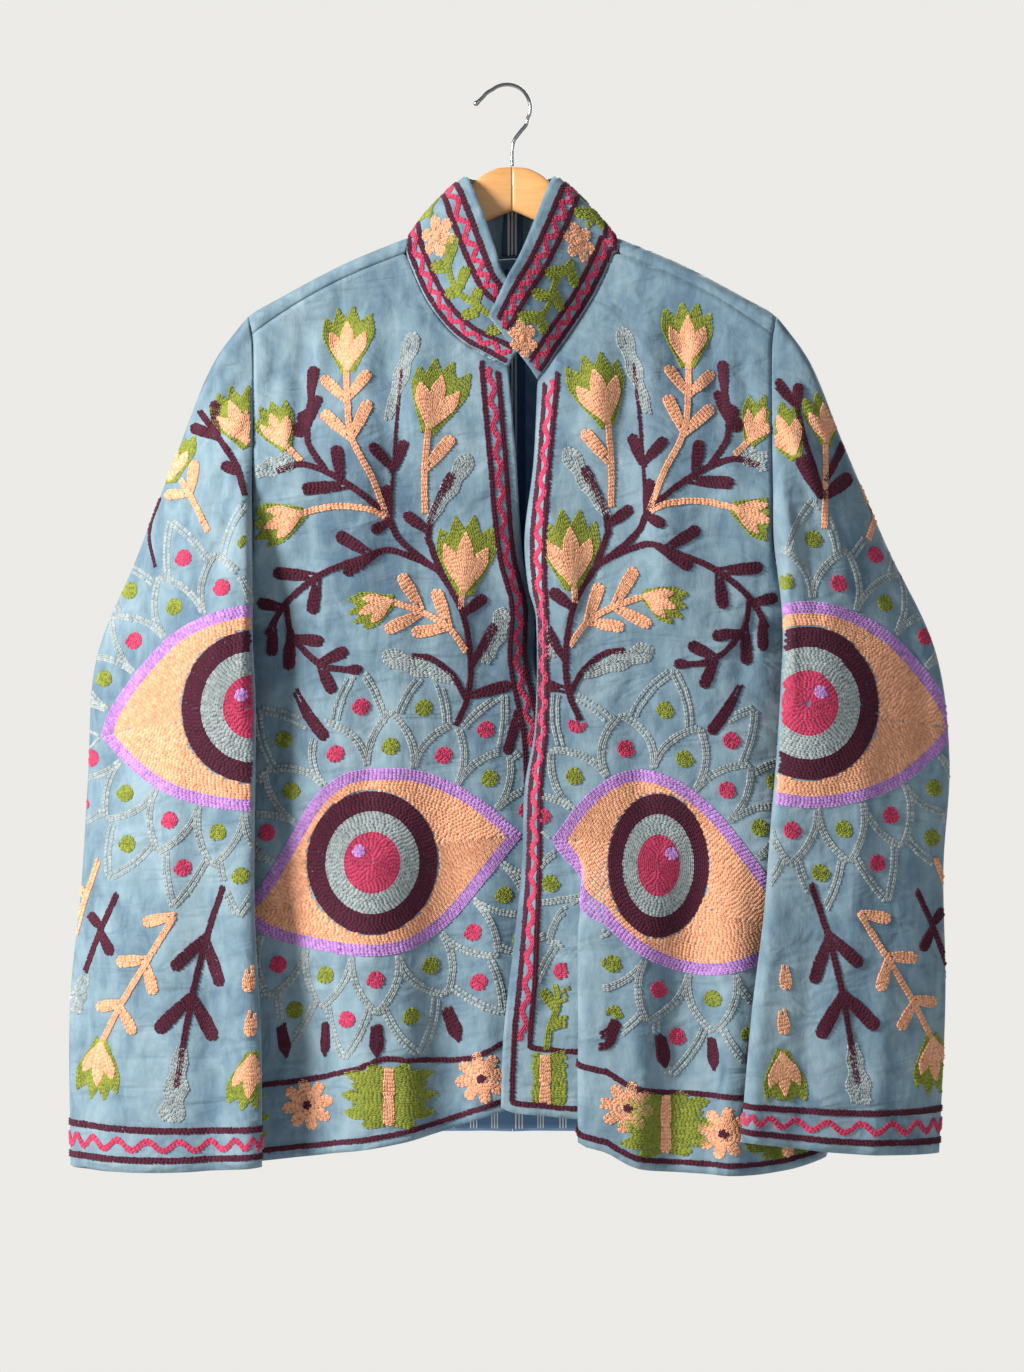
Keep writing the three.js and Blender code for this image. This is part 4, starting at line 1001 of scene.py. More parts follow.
# The velvet turned in behind the wearer's left front edge, a little proud of it above.
def frontFacing():
    row = np.linspace(0.04, 0.985, 150)
    share = np.linspace(0, 0.115, 10)
    shares, rows = np.meshgrid(share, row)
    grid = frontPlace(1, *frontPlaces(1, shares, rows))
    normals = gridNormals(grid)
    normals *= -np.sign(normals[..., 1].mean())
    proud = read(facingProud, "down", "proud", -grid[:, 0, 2])
    way = grid[:, 0] - grid[:, 1]
    way = unit(way)
    grid = grid.copy()
    grid[:, 0] += way * proud[:, None]
    return insideStrip(
        "frontFacing", grid, normals, facingLook["stand"], facingLook["wall"], velvet, lengthsUv(grid))


# A strip inside the back, from one side's offs across the centre seam to the other's: its grid,
# its normals, which look to the back, and its cloth in mm.
def backStrip(offs, downs, firstMm):
    offs, downs = np.meshgrid(offs, downs)
    left, right = (backPlace(side, offs, downs) for side in (1, -1))
    return stripParts(np.concatenate([right[:, :0:-1], left], axis=1), firstMm)


# A strip's grid, its normals turned to the back, and its cloth in mm.
def stripParts(grid, firstMm):
    normals = gridNormals(grid)
    normals *= np.sign(normals[..., 1].mean())
    return grid, normals, np.stack([grid[..., 0] + firstMm, -grid[..., 2]], axis=-1)


# The striped tape that covers the centre back seam inside, 20 mm wide.
tapeSizes = {"halfWidth": 10.0, "wall": 0.8, "from": 137.0, "to": 738.0, "stand": 2.6,
             "collarHalf": 7.5, "collarStand": 2.7}


def backTape():
    down = np.linspace(tapeSizes["from"] + 2, tapeSizes["to"], 150)
    off = np.linspace(0, tapeSizes["halfWidth"], 5)
    grid, normals, uv = backStrip(off, down, tapeSizes["halfWidth"] - centreX)
    return insideStrip(
        "backTape", grid, normals, tapeSizes["stand"], tapeSizes["wall"], stripedTape, uv)


# The same tape carried up the inside of the collar at the centre back.
def collarTape():
    middle = 0.5
    reach = tapeSizes["collarHalf"] / neckLength
    share, rise = np.meshgrid(np.linspace(middle - reach, middle + reach, 7), np.linspace(0.94, 0.03, 24))
    grid, normals, uv = stripParts(collarPoint(share, rise), tapeSizes["halfWidth"] - centreX)
    return insideStrip(
        "collarTape", grid, normals, tapeSizes["collarStand"], tapeSizes["wall"], stripedTape, uv)


# The striped facing inside the back hem.
hemSizes = {"from": 740.0, "to": 786.0, "halfWidth": 165.0, "stand": 2.6, "wall": 0.8, "firstMm": 200.0}


def hemFacing():
    down = np.linspace(hemSizes["from"], hemSizes["to"], 14)
    off = np.linspace(0, hemSizes["halfWidth"], 50)
    grid, normals, uv = backStrip(off, down, hemSizes["firstMm"])
    return insideStrip("hemFacing", grid, normals, hemSizes["stand"], hemSizes["wall"], hemCotton, uv)


# A small ring of the same tape under the collar: a flat oval section carried round an oval.
loopSizes = {
    "down": 141.0, "halfWidth": 7.0, "halfHeight": 5.0, "strand": 1.5, "flat": 0.55, "tapeFace": 3.4,
    "clear": 0.4, "turns": 48, "around": 12}


def hangerLoop():
    base = backPlace(1, np.array(0.0), np.array(loopSizes["down"]))
    y = float(base[1]) - loopSizes["tapeFace"] - loopSizes["strand"] - loopSizes["clear"]
    turn, around = np.meshgrid(
        *(np.linspace(0, 2 * np.pi, loopSizes[name], endpoint=False) for name in ("turns", "around")),
        indexing="ij")
    radius = loopSizes["halfWidth"] + loopSizes["flat"] * loopSizes["strand"] * np.cos(around)
    x = centreX + radius * np.cos(turn)
    z = -loopSizes["down"] + radius * np.sin(turn) * loopSizes["halfHeight"] / loopSizes["halfWidth"]
    points = stack(x, y + loopSizes["strand"] * np.sin(around), z)
    rows, columns = points.shape[:2]
    faces = gridFaces(rows, columns, wraps=True)
    last = np.arange(columns)
    start = (rows - 1) * columns
    closing = np.stack([start + last, start + (last + 1) % columns, (last + 1) % columns, last], axis=-1)
    faces = np.concatenate([faces, closing])
    uv = np.stack([turn * loopSizes["halfWidth"], around], axis=-1)
    ring = points.reshape(-1, 3)
    tubeCentre = stack(
        centreX + loopSizes["halfWidth"] * np.cos(turn), np.full_like(turn, y),
        -loopSizes["down"] + loopSizes["halfHeight"] * np.sin(turn)).reshape(-1, 3)
    faces = facesOut(ring, faces, tubeCentre[faces[:, 0]])
    return buildMesh("hangerLoop", ring, faces, [stripedTape], uv.reshape(-1, 2))


# A solid from rings of points: the rings are joined, their faces turned out from each ring's
# middle, and both ends closed.
def tubeMesh(name, points, material):
    rows, columns = points.shape[:2]
    flat = points.reshape(-1, 3)
    middle = np.repeat(points.mean(axis=1), columns, axis=0)
    faces = gridFaces(rows, columns, wraps=True)
    piece = buildMesh(name, flat, facesOut(flat, faces, middle[faces[:, 0]]), [material])
    work = bmesh.new()
    work.from_mesh(piece.data)
    bmesh.ops.holes_fill(work, edges=[edge for edge in work.edges if edge.is_boundary])
    bmesh.ops.recalc_face_normals(work, faces=work.faces)
    work.to_mesh(piece.data)
    work.free()
    return piece


# Half of the hanger: a rounded section carried along the arm, which leans forward.
woodLine = table(
    "off top bottom thick",
    (0, 60, 94, 1), (14, 62, 100, 1), (30, 73, 108, 1), (50, 101, 128, 1), (64, 115, 139, 1),
    (78, 121.5, 146, 1), (95, 125.3, 151, 1), (117, 134.3, 159, 1), (141, 146.3, 169, 1),
    (175, 165.3, 185, 1), (192, 175, 192, 0.95), (199, 181.5, 190, 0.6))
woodSizes = {
    "length": 199.0, "halfThickness": 5.2, "jointGap": 0.15, "steps": 120, "around": 32, "squareness": 3.2,
    "thin": 0.93, "low": 0.97, "drop": 1.2, "dropRun": 60.0}


def hangerArm(side):
    off = np.linspace(0, woodSizes["length"], woodSizes["steps"])
    turn = np.linspace(0, 2 * np.pi, woodSizes["around"], endpoint=False)
    offs, turns = np.meshgrid(off, turn, indexing="ij")
    top, bottom, thick = (read(woodLine, "off", name, offs) for name in ("top", "bottom", "thick"))
    half = (bottom - top) / 2
    power = 2 / woodSizes["squareness"]
    y = np.sign(np.cos(turns)) * np.abs(np.cos(turns)) ** power * woodSizes["halfThickness"] * thick
    z = np.sign(np.sin(turns)) * np.abs(np.sin(turns)) ** power * half
    start = np.where(offs == 0, woodSizes["jointGap"], offs)
    drop = (top + bottom) / 2
    z = z * woodSizes["low"] - drop - woodSizes["drop"] * ease(offs / woodSizes["dropRun"])
    points = stack(centreX + side * start, y * woodSizes["thin"] - armSweep * offs, z)
    return tubeMesh("hangerArm." + sideNames[side], points, beech)


# The hook: wire carried round the crown and down to the wood, with a small bead at its tip.
hookSizes = {
    "wire": 1.4, "radius": 17.6, "from": 128, "to": -30, "steps": 180, "around": 20, "bead": 2.0,
    "beadAt": 2.0, "beadRun": 1.8, "tip": 1.2}
hookTip = ((-24.6, -14.2), (-23.4, -13.0), (-22.4, -12.2), (-18.6, -8.6), (-15.0, -4.8))
hookStem = ((14.6, -28.4), (9.6, -34.6), (5.6, -40.4), (4.0, -47.0), (4.0, -59.7))


# A smooth path through points, at even steps of its length.
def smoothPath(points, count):
    points = np.asarray(points, float)
    lengths = lengthsOf(points)
    rows = {"s": lengths, **{str(k): points[:, k] for k in range(points.shape[1])}}
    s = np.linspace(0, lengths[-1], count)
    return np.stack([read(rows, "s", str(k), s) for k in range(points.shape[1])], axis=-1), s


def hangerHook():
    centreZ = -(hookSizes["radius"] - hookSizes["wire"])
    turns = np.radians(np.linspace(hookSizes["from"], hookSizes["to"], 15))
    arc = np.stack([
        hookSizes["radius"] * np.cos(turns), centreZ + hookSizes["radius"] * np.sin(turns)], axis=-1)
    path, s = smoothPath(np.concatenate([hookTip, arc, hookStem]), hookSizes["steps"])
    bead = np.exp(-(((s - hookSizes["beadAt"]) / hookSizes["beadRun"]) ** 2))
    bead = bead * (hookSizes["bead"] - hookSizes["wire"])
    radius = (hookSizes["wire"] + bead) * np.sqrt(np.clip(s / hookSizes["tip"], 0.05, 1))
    tangent = unit(np.gradient(path, axis=0))
    turn = np.linspace(0, 2 * np.pi, hookSizes["around"], endpoint=False)
    x = path[:, None, 0] + radius[:, None] * np.sin(turn) * -tangent[:, None, 1]
    z = path[:, None, 1] + radius[:, None] * np.sin(turn) * tangent[:, None, 0]
    return tubeMesh("hangerHook", stack(x, radius[:, None] * np.cos(turn), z), steel)


finishPiece(frontFacing(), "velvet", "front_facing")
finishPiece(backTape(), "tape", "back_tape")
finishPiece(collarTape(), "tape")
finishPiece(hemFacing(), "lining", "hem_facing")
finishPiece(hangerLoop(), "tape", "hanger_loop")
finishPiece(hangerArm(-1), "wood", "hanger_arm_right")
finishPiece(hangerArm(1), "wood", "hanger_arm_left")
finishPiece(hangerHook(), "steel", "hanger_hook")
print("strips and hanger made")


# Embroidery: chain stitch in wool, worked in rows. Every motif is a set of rows in the flat
# places of its panel, in millimetres, and one function turns rows into stitches on the cloth.

# Each thread's darker and paler ends. Stitches vary between them at random; the darker end also serves as
# painted shade at the foot of each lobe and the paler end as a painted highlight along its ridge.
threadColours = {
    "peach": ("#c07a55", "#f6c09c"),
    "maroon": ("#2a0616", "#581233"),
    "grey": ("#5f6d72", "#b3bec0"),
    "pink": ("#8a1f45", "#d4476e"),
    "green": ("#4c5712", "#99a440"),
    "lilac": ("#84569f", "#cf9fe2"),
}
stitchSizes = {
    "length": 2.9, "width": 2.6, "rowGap": 2.1, "sunk": 0.1, "height": 1.3, "overlap": 1.18, "vary": 0.07,
    "ahead": 0.6, "slope": 0.8, "seed": 11}


# Wool yarn, two-ply and slightly hairy: soft matt threads, each stitch a little lighter or darker at random.
# The colour follows the stitch attribute, which also carries painted shade at each lobe's foot and a painted
# highlight along its ridge.
def woolMaterial(name, dark, pale):
    material, shader = newMaterial("woolYarn." + name)
    toneAndPaintedShade = node(material, "ShaderNodeAttribute", attribute_name="toneAndPaintedShade").outputs["Fac"]
    colour = ramp(material, toneAndPaintedShade, (0.0, dark), (1.0, pale))
    place = node(material, "ShaderNodeTexCoord").outputs["Object"]
    fibre = node(material, "ShaderNodeTexNoise", {"Vector": place, "Scale": 1400.0, "Detail": 2.0})
    rise = bumped(material, fibre.outputs["Fac"], 0.5, 0.0002)
    finishShader(
        material, shader, colour, rise, roughness=0.75, specular=0.25, sheen=0.25, sheenRoughness=0.5)
    return material


threadNames = list(threadColours)
threads = [woolMaterial(name, *threadColours[name]) for name in threadNames]


# A smooth flat line through points, with a place at about each gap.
def smoothLine(points, gap=1.5):
    points = np.asarray(points, float)
    if len(points) == 2:
        count = max(2, int(np.hypot(*(points[1] - points[0])) / gap) + 1)
        return points[0] + (points[1] - points[0]) * np.linspace(0, 1, count)[:, None]
    length = np.hypot(*np.diff(points, axis=0).T).sum()
    return smoothPath(points, max(4, int(length / gap)))[0]


# Normals of a flat line, and its share of length at each point.
def sideways(line):
    way = np.gradient(line, axis=0)
    way /= np.maximum(np.hypot(*way.T), 1e-9)[:, None]
    return np.stack([way[:, 1], -way[:, 0]], axis=-1)


# Each point's share of a line's length.
def shareAlong(line):
    lengths = np.concatenate([[0], np.cumsum(np.hypot(*np.diff(line, axis=0).T))])
    return lengths / lengths[-1]


# Splits a line where a mask is false.
def runsOf(line, kept):
    marks = np.flatnonzero(np.diff(np.concatenate([[0], kept.astype(int), [0]])))
    return [line[a:b] for a, b in zip(marks[::2], marks[1::2]) if b - a > 1]


# A stem: its rows run side by side at an even distance from the middle line.
def stem(colour, points, rows=2, lift=0.0):
    line = smoothLine(points)
    across = sideways(line)
    gaps = (np.arange(rows) - (rows - 1) / 2) * stitchSizes["rowGap"]
    return [(colour, line + across * gap, lift) for gap in gaps]


# A leaf, worked as closed rows that follow its outline inwards. Its half width grows from the
# waist at the base to the full width at 0.6 of the length, and ends round, or over the share
# `point` in a point; teeth are soft lobes along both sides.
leafWave = {"depth": 0.16}


def leaf(colour, base, tip, width, bend=0.0, waist=0.6, point=0.0, teeth=0, lift=0.0, gap=None):
    base = np.asarray(base, float)
    tip = np.asarray(tip, float)
    way = tip - base
    length = max(np.hypot(*way), 1.0)
    middle = (base + tip) / 2 + np.array([way[1], -way[0]]) * bend
    line = smoothLine([base, middle, tip], 1.0)
    run = max(point, min(0.5, 0.55 * width / length))
    t = shareAlong(line)
    t = np.unique(np.concatenate([t[t < 1 - run], 1 - run * np.cos(np.linspace(0, np.pi / 2, 9))]))
    line = np.stack([np.interp(t, shareAlong(line), line[:, k]) for k in (0, 1)], axis=-1)
    past = np.clip((t - 1 + run) / run, 0, 1)
    end = 1 - past ** 1.4 if point else np.sqrt(1 - past ** 2)
    wave = leafWave["depth"] * np.cos(2 * np.pi * teeth * t) * (teeth > 0)
    body = mix(waist, 1, ease(t / 0.6)) * (1 - wave)
    edge = sideways(line) * (width / 2 * body * end)[:, None]
    outline = np.concatenate([line + edge, (line - edge)[-2::-1]])
    loops = max(1, math.ceil((width / 2 - 0.3) / (gap or stitchSizes["rowGap"])))
    step = width / 2 / loops
    rows = []
    for row, kept in insetRows(outline, step / 2, width / 2, step):
        rows += [(colour, piece, lift) for piece in runsOf(row, kept)]
    if point:
        rows += [(colour, piece, lift) for piece in runsOf(line, width / 2 * body * end > 1.6)]
    return rows


# A dot: one row wound inwards, its radius falling by a row's width each turn.
def dot(colour, centre, radius=7.2):
    turns = radius / stitchSizes["rowGap"]
    angle = np.linspace(0, 2 * np.pi * turns, int(26 * turns))
    r = radius - stitchSizes["width"] / 2 - (radius - 1.4) * angle / angle[-1]
    r = np.maximum(r, 0.4)
    line = np.stack([centre[0] + r * np.cos(angle), centre[1] + r * np.sin(angle)], axis=-1)
    return [(colour, line, 0.15)]


# An oval, as a flat closed line.
def ring(centre, rx, ry):
    angle = np.linspace(0, 2 * np.pi, max(14, int(rx * 3)))
    return np.stack([centre[0] + rx * np.cos(angle), centre[1] + ry * np.sin(angle)], axis=-1)


# Rows that follow a closed outline inwards: each is the outline moved in by its distance, less
# the points that come nearer than that to another part of it.
def insetRows(outline, first, last, gap):
    inwards = sideways(outline)
    middle = outline.mean(axis=0)
    if ((middle - outline) * inwards).sum() < 0:
        inwards = -inwards
    rows = []
    for distance in np.arange(first, last, gap):
        line = outline + inwards * distance
        apart = np.hypot(*(line[:, None, :] - outline[None, :, :]).transpose(2, 0, 1)).min(axis=1)
        rows.append((line, apart > distance - 0.35))
    return rows


eyeSizes = {"border": 4, "maroonShare": 0.72, "greyShare": 0.44, "gap": 2.12, "light": 5.6}


# An eye: a lilac border of four rows, peach rows that follow it inwards, and round the middle
# an iris of closed rings, maroon, grey and pink, with a lilac light.
def eye(upper, lower, centre, radii):
    a = smoothLine(upper, 1.2)
    b = smoothLine(lower, 1.2)
    outline = np.concatenate([a, b[1:]])
    rx, ry = radii
    rows = []
    for k, (line, kept) in enumerate(insetRows(outline, 0.9, 80, eyeSizes["gap"])):
        beyond = ((line[:, 0] - centre[0]) / (rx + 1)) ** 2 + ((line[:, 1] - centre[1]) / (ry + 1)) ** 2 > 1
        colour = "lilac" if k < eyeSizes["border"] else "peach"
        rows += [(colour, run, 0.0) for run in runsOf(line, kept & beyond)]
    rings = (("maroon", eyeSizes["maroonShare"]), ("grey", eyeSizes["greyShare"]), ("pink", 0.0))
    for share in np.arange(0.985, 0.03, -eyeSizes["gap"] / max(rx, ry)):
        colour = next(name for name, least in rings if share > least)
        rows.append((colour, ring(centre, rx * share, ry * share), 0.1))
    spot = (centre[0] + eyeSizes["light"] * 1.7, centre[1] - eyeSizes["light"] * 1.6)
    rows += [(c, line, 1.0) for c, line, _ in dot("lilac", spot, eyeSizes["light"])]
    return rows


# A tulip: three green calyx leaves fanned from the base, and three peach petals over them.
tulipSizes = {
    "calyx": ((-23, 1.3, 15.5), (-5, 1.36, 13), (10, 1.34, 13), (25, 1.2, 14.5)),
    "petals": ((-27, 0.86, 9.6), (1, 1.02, 9.8), (27, 0.88, 9.6))}


# A flat way turned by an angle.
def turned(way, degrees):
    angle = math.radians(degrees)
    cos, sin = math.cos(angle), math.sin(angle)
    return np.array([way[0] * cos - way[1] * sin, way[0] * sin + way[1] * cos])


# A tulip from the foot of its cup to its tip.
def tulip(baseOff, baseDown, tipOff, tipDown, petal="peach", calyx="green"):
    base = np.array([baseOff, baseDown], float)
    way = np.array([tipOff, tipDown], float) - base
    scale = np.hypot(*way) / 35.0
    rows = []
    for degrees, reach, width in tulipSizes["calyx"]:
        tip = base + turned(way, degrees) * reach
        rows += leaf(calyx, base - way * 0.1, tip, width * scale, waist=0.7, point=0.3)
    for degrees, reach, width in tulipSizes["petals"]:
        tip = base + turned(way, degrees) * reach
        rows += leaf(petal, base - way * 0.04, tip, width * scale, waist=0.4, point=0.3, lift=0.9)
    return rows


# A daisy: petals fanned round a small oval.
def daisy(centre, radius=19.0, petals=8, colour="peach", heart="maroon", heartSize=4.2, spread=0.42):
    centre = np.asarray(centre, float)
    rows = []
    for k in range(petals):
        angle = 2 * math.pi * k / petals + 0.2
        way = np.array([math.cos(angle), math.sin(angle)])
        rows += leaf(colour, centre + way, centre + way * radius, radius * spread, waist=0.45)
    return rows + [(c, line, 0.9) for c, line, _ in dot(heart, centre, heartSize)]


# The net round an eye: scales that stand on its border and overlap like a fish's, in two layers,
# each a pair of curved sides that meet in a point, worked double, with a dot in the middle. The
# half width at a height h of a scale of height H is its foot's half width times (1 - (h / H)^2).
netSizes = {"pitch": 34.0, "heights": (42.0, 76.0), "dots": (17.0, 47.0), "half": 17.0, "double": 1.35}


def netRows(edge, outward, first=8.0, dots=("pink", "green")):
    rows = []
    way = sideways(edge)
    if (way * outward).sum() < 0:
        way = -way
    smooth = np.ones(15) / 15
    way = np.stack([np.convolve(np.pad(way[:, k], 7, mode="edge"), smooth, "valid") for k in (0, 1)], axis=-1)
    reach = shareAlong(edge)
    total = np.hypot(*np.diff(edge, axis=0).T).sum()

    def place(s, d):
        t = np.clip(s / total, 0, 1)
        at = np.stack([np.interp(t, reach, edge[:, k]) for k in (0, 1)], axis=-1)
        out = np.stack([np.interp(t, reach, way[:, k]) for k in (0, 1)], axis=-1)
        return at + out * np.asarray(d)[..., None]

    def halfAt(h, layer):
        return netSizes["half"] * (1 - np.clip(h / netSizes["heights"][layer], 0, 1) ** 2)

    pitch = netSizes["pitch"]
    for layer in (0, 1):
        starts = np.arange(first + layer * pitch / 2, total - 4, pitch)
        for k, middle in enumerate(starts):
            h = np.linspace(0, netSizes["heights"][layer], 40)
            for hand in (-1, 1):
                for step in (-netSizes["double"], netSizes["double"]):
                    s = middle + hand * np.maximum(halfAt(h, layer) + step, 0)
                    under = np.mod(s - first + pitch / 2, pitch) - pitch / 2
                    shown = (layer == 0) | (np.abs(under) > halfAt(h, 0) + 2) | (h > netSizes["heights"][0])
                    rows += [("grey", run, 0.0) for run in runsOf(place(s, h), shown & (h > 0.5))]
            rows += dot(dots[(k + layer) % 2], place(np.array(middle), netSizes["dots"][layer]))
    return rows


# Turns rows into stitches. Each stitch is two lobes side by side, slanted like the two sides of
# a chain link: a low hipped roof on four base points, with a short ridge.
lobe = np.array([
    (-0.62, -0.08, 0.0), (-0.12, 1.08, 0.0), (0.64, 0.96, 0.0), (0.46, -0.08, 0.0), (-0.14, 0.4, 1.0),
    (0.38, 0.56, 1.0)])
stitchPoints = np.concatenate([lobe, lobe * (1, -1, 1)])
lobeFaces = np.array([(0, 4, 1), (1, 4, 5), (1, 5, 2), (2, 5, 3), (3, 5, 4), (3, 4, 0)])
stitchFaces = np.concatenate([lobeFaces, lobeFaces[:, ::-1] + 6])


def stitch(name, rows, placeOf, sign):
    random = np.random.default_rng(stitchSizes["seed"])
    lines = [line for _, line, _ in rows]
    counts = np.array([len(line) for line in lines])
    flat = np.concatenate(lines)
    rowOf = np.repeat(np.arange(len(rows)), counts)
    placed = placeOf(flat[:, 0], flat[:, 1])
    steps = np.linalg.norm(np.diff(placed, axis=0), axis=1)
    steps[rowOf[1:] != rowOf[:-1]] = 0
    reach = np.concatenate([[0], np.cumsum(steps)])
    ends = np.cumsum(counts) - 1
    starts = ends - counts + 1
    lengths = reach[ends] - reach[starts]
    wanted = np.maximum(1, np.round(lengths / stitchSizes["length"])).astype(int)
    row = np.repeat(np.arange(len(rows)), wanted)
    number = np.arange(len(row)) - np.repeat(np.cumsum(wanted) - wanted, wanted)
    stepLength = lengths[row] / wanted[row]
    number = number + random.uniform(-0.4, 0.4, len(rows))[row] + random.normal(0, 0.08, len(row))
    key = reach + rowOf * 0.001
    middle = reach[starts][row] + row * 0.001 + (number + 0.5) * stepLength
    middle = np.clip(middle, key[starts][row], key[ends][row])

    def flatAt(at):
        return np.interp(at, key, flat[:, 0]), np.interp(at, key, flat[:, 1])

    off, down = flatAt(middle)
    point = placeOf(off, down)
    behind, ahead = (
        placeOf(*flatAt(np.clip(middle + way * stitchSizes["ahead"], key[starts][row], key[ends][row])))
        for way in (-1, 1))
    tangent = unit(ahead - behind)
    step = stitchSizes["slope"]
    byOff = placeOf(off + step, down) - placeOf(off - step, down)
    byDown = placeOf(off, down + step) - placeOf(off, down - step)
    normal = unit(np.cross(byOff, byDown) * sign)
    across = unit(np.cross(normal, tangent))
    count = len(point)
    lift = np.array([lifted for _, _, lifted in rows])[row]
    lean = random.normal(0, stitchSizes["vary"], count)
    along = tangent + across * lean[:, None]
    size = 1 + random.normal(0, stitchSizes["vary"], count)
    x = stitchPoints[:, 0] * stepLength[:, None] * stitchSizes["overlap"]
    y = stitchPoints[:, 1] * (stitchSizes["width"] / 2) * size[:, None]
    y = y + random.normal(0, 0.1, count)[:, None]
    z = stitchPoints[:, 2] * stitchSizes["height"] * size[:, None] - stitchSizes["sunk"] + lift[:, None]
    points = point[:, None] + x[..., None] * along[:, None]
    points = points + y[..., None] * across[:, None] + z[..., None] * normal[:, None]
    perStitch = len(stitchPoints)
    faces = stitchFaces[None] + (np.arange(count) * perStitch)[:, None, None]
    colours = np.array([threadNames.index(colour) for colour, _, _ in rows])[row]
    piece = buildMesh(
        name, points.reshape(-1, 3), faces.reshape(-1, 3), threads,
        faceMaterial=np.repeat(colours, len(stitchFaces)))
    toneAndPaintedShade = piece.data.attributes.new("toneAndPaintedShade", "FLOAT", "POINT")
    # Each stitch gets a random tone. On top of it the four foot points of each lobe are painted darker, as
    # painted shade between the yarns, and the two ridge points lighter, as a painted highlight.
    values = random.normal(0.66, 0.12, count)[:, None] + np.where(stitchPoints[:, 2] > 0, 0.14, -0.5)
    toneAndPaintedShade.data.foreach_set("value", np.clip(values, 0, 1).astype(np.float32).ravel())
    print(name, count, "stitches", count * len(stitchFaces), "triangles")
    return finishPiece(piece, "velvet")


# The design of one front, as places (off, down) on it. The other front has it mirrored and
# moved a little, and the back repeats it. Stems are (colour, rows, points), leaves are
# (base, tip, width), tulips (base, tip).
chestStems = (
    ("maroon", 1, ((81.4, 214.9), (85, 250), (87.1, 278.6), (88.9, 304.9), (90.8, 325.5))),
    ("maroon", 2, ((90.8, 325.5), (84.3, 340.5), (64.8, 357.9), (53.1, 367), (36.9, 396.3), (31, 433.5),
                   (33.4, 459.1), (41.5, 478.8))),
    ("maroon", 2, ((90.8, 325.5), (116.1, 304.9), (134.9, 293.6), (155.5, 287), (173.3, 291.8))),
    ("maroon", 2, ((137, 292), (149.9, 272), (150.8, 254.3), (147.1, 222))),
    ("maroon", 2, ((55.5, 363.8), (74, 355), (92.7, 349.8), (106.6, 354.5), (141.5, 368.4), (167, 389.3),
    (181, 412))),
    ("maroon", 2, ((167, 389.3), (162.4, 412), (141, 434), (113.6, 439.3))),
    ("maroon", 2, ((62.4, 341), (59.9, 325.5), (53, 309), (44.9, 295.5))),
    ("maroon", 2, ((75.2, 427.7), (60.1, 430), (43.8, 442.8), (34.5, 459.1))),
    ("maroon", 2, ((53.1, 366), (62.4, 341))),
    ("peach", 2, ((122.7, 213.9), (121.8, 237.4), (118, 267.4), (103, 297.4), (92.7, 325))),
    ("peach", 2, ((61.8, 258), (64.6, 291.8), (64.6, 322))),
    ("peach", 2, ((156.4, 323.6), (138, 319), (121.8, 318), (103, 320.8), (93.6, 325.4))),
    ("peach", 2, ((166.8, 273), (155.5, 284))),
    ("peach", 2, ((36.9, 377.7), (38, 393))),
    ("peach", 2, ((88, 388.2), (64.8, 396.3), (46.2, 407.9), (34.4, 424))),
)
chestLeaves = {
    "maroon": (
        ((87.5, 290), (104.5, 272), 7.5), ((86.5, 292), (79.2, 269), 7.5), ((126.4, 300), (129.8, 273), 9),
        ((119.8, 303), (154.6, 305.2), 9), ((148.5, 237), (147.4, 213), 7.5), ((149.6, 259), (143.2, 236), 7),
        ((144, 253), (160, 266), 10), ((151, 246), (158, 255), 8), ((106, 350), (129.4, 338.2), 9),
        ((99, 350.4), (124, 367.4), 9), ((141.8, 371), (176.4, 366.6), 9), ((143.4, 368.6), (147.6, 397.4),
        9),
        ((179, 402), (177.4, 428), 8), ((161.2, 408), (164.9, 438.4), 9), ((161.4, 414.2), (139.2, 417.4),
        8.5),
        ((143, 436), (121.4, 423.2), 8.5), ((142.4, 433), (131.8, 455.4), 8.5), ((123, 438.2),
        (110.8, 437.6), 6.5),
        ((171, 391.6), (188, 388.4), 8.5), ((62.8, 336.6), (79.8, 322.6), 8), ((54, 311), (43.8, 293), 6.5),
        ((37.4, 397.4), (19.6, 383.6), 8.5), ((29.2, 436), (12.6, 404), 6.5), ((32.4, 457.6), (1, 449), 8.5),
        ((90.8, 327), (93, 302), 7.5), ((92.6, 329.4), (103.6, 336.4), 7.5)),
    "peach": (
        ((121.6, 240.4), (140.8, 221.2), 8), ((121.4, 239), (105.8, 217.4), 8), ((117.6, 268.4),
        (140.2, 247.6), 8.5),
        ((116.8, 267), (105.6, 239.4), 8.5), ((63.6, 290), (43.8, 266), 9), ((66, 397.2), (82.6, 367.4), 9),
        ((67, 397), (93.8, 409.4), 8.5), ((46.6, 408.6), (56.8, 378.6), 9), ((48, 408.4), (74, 411), 8.5)),
}
chestStrokes = {
    "maroon": (
        ((-5, 462.6), (-0.4, 484.7), (4.3, 500.9), 7.5), ((160, 453.3), (150.3, 471), (136.8, 489.3), 8.5)),
}
chestTulips = (
    (121.8, 213.9, 121.8, 180.1), (60.8, 258, 51.4, 221.4), (167.7, 273, 178, 249),
    (156.4, 323.6, 182.4, 333),
    (35.7, 377.7, 33.4, 338), (90, 387.4, 112, 396))
chestGreys = (((92, 254), (72.4, 187.7), 11), ((61.8, 329.3), (31, 279), 12), ((195, 295), (160, 283), 14),
              ((20.6, 433.5), (3.6, 391.7), 14), ((43, 446), (96, 426.5), 13))

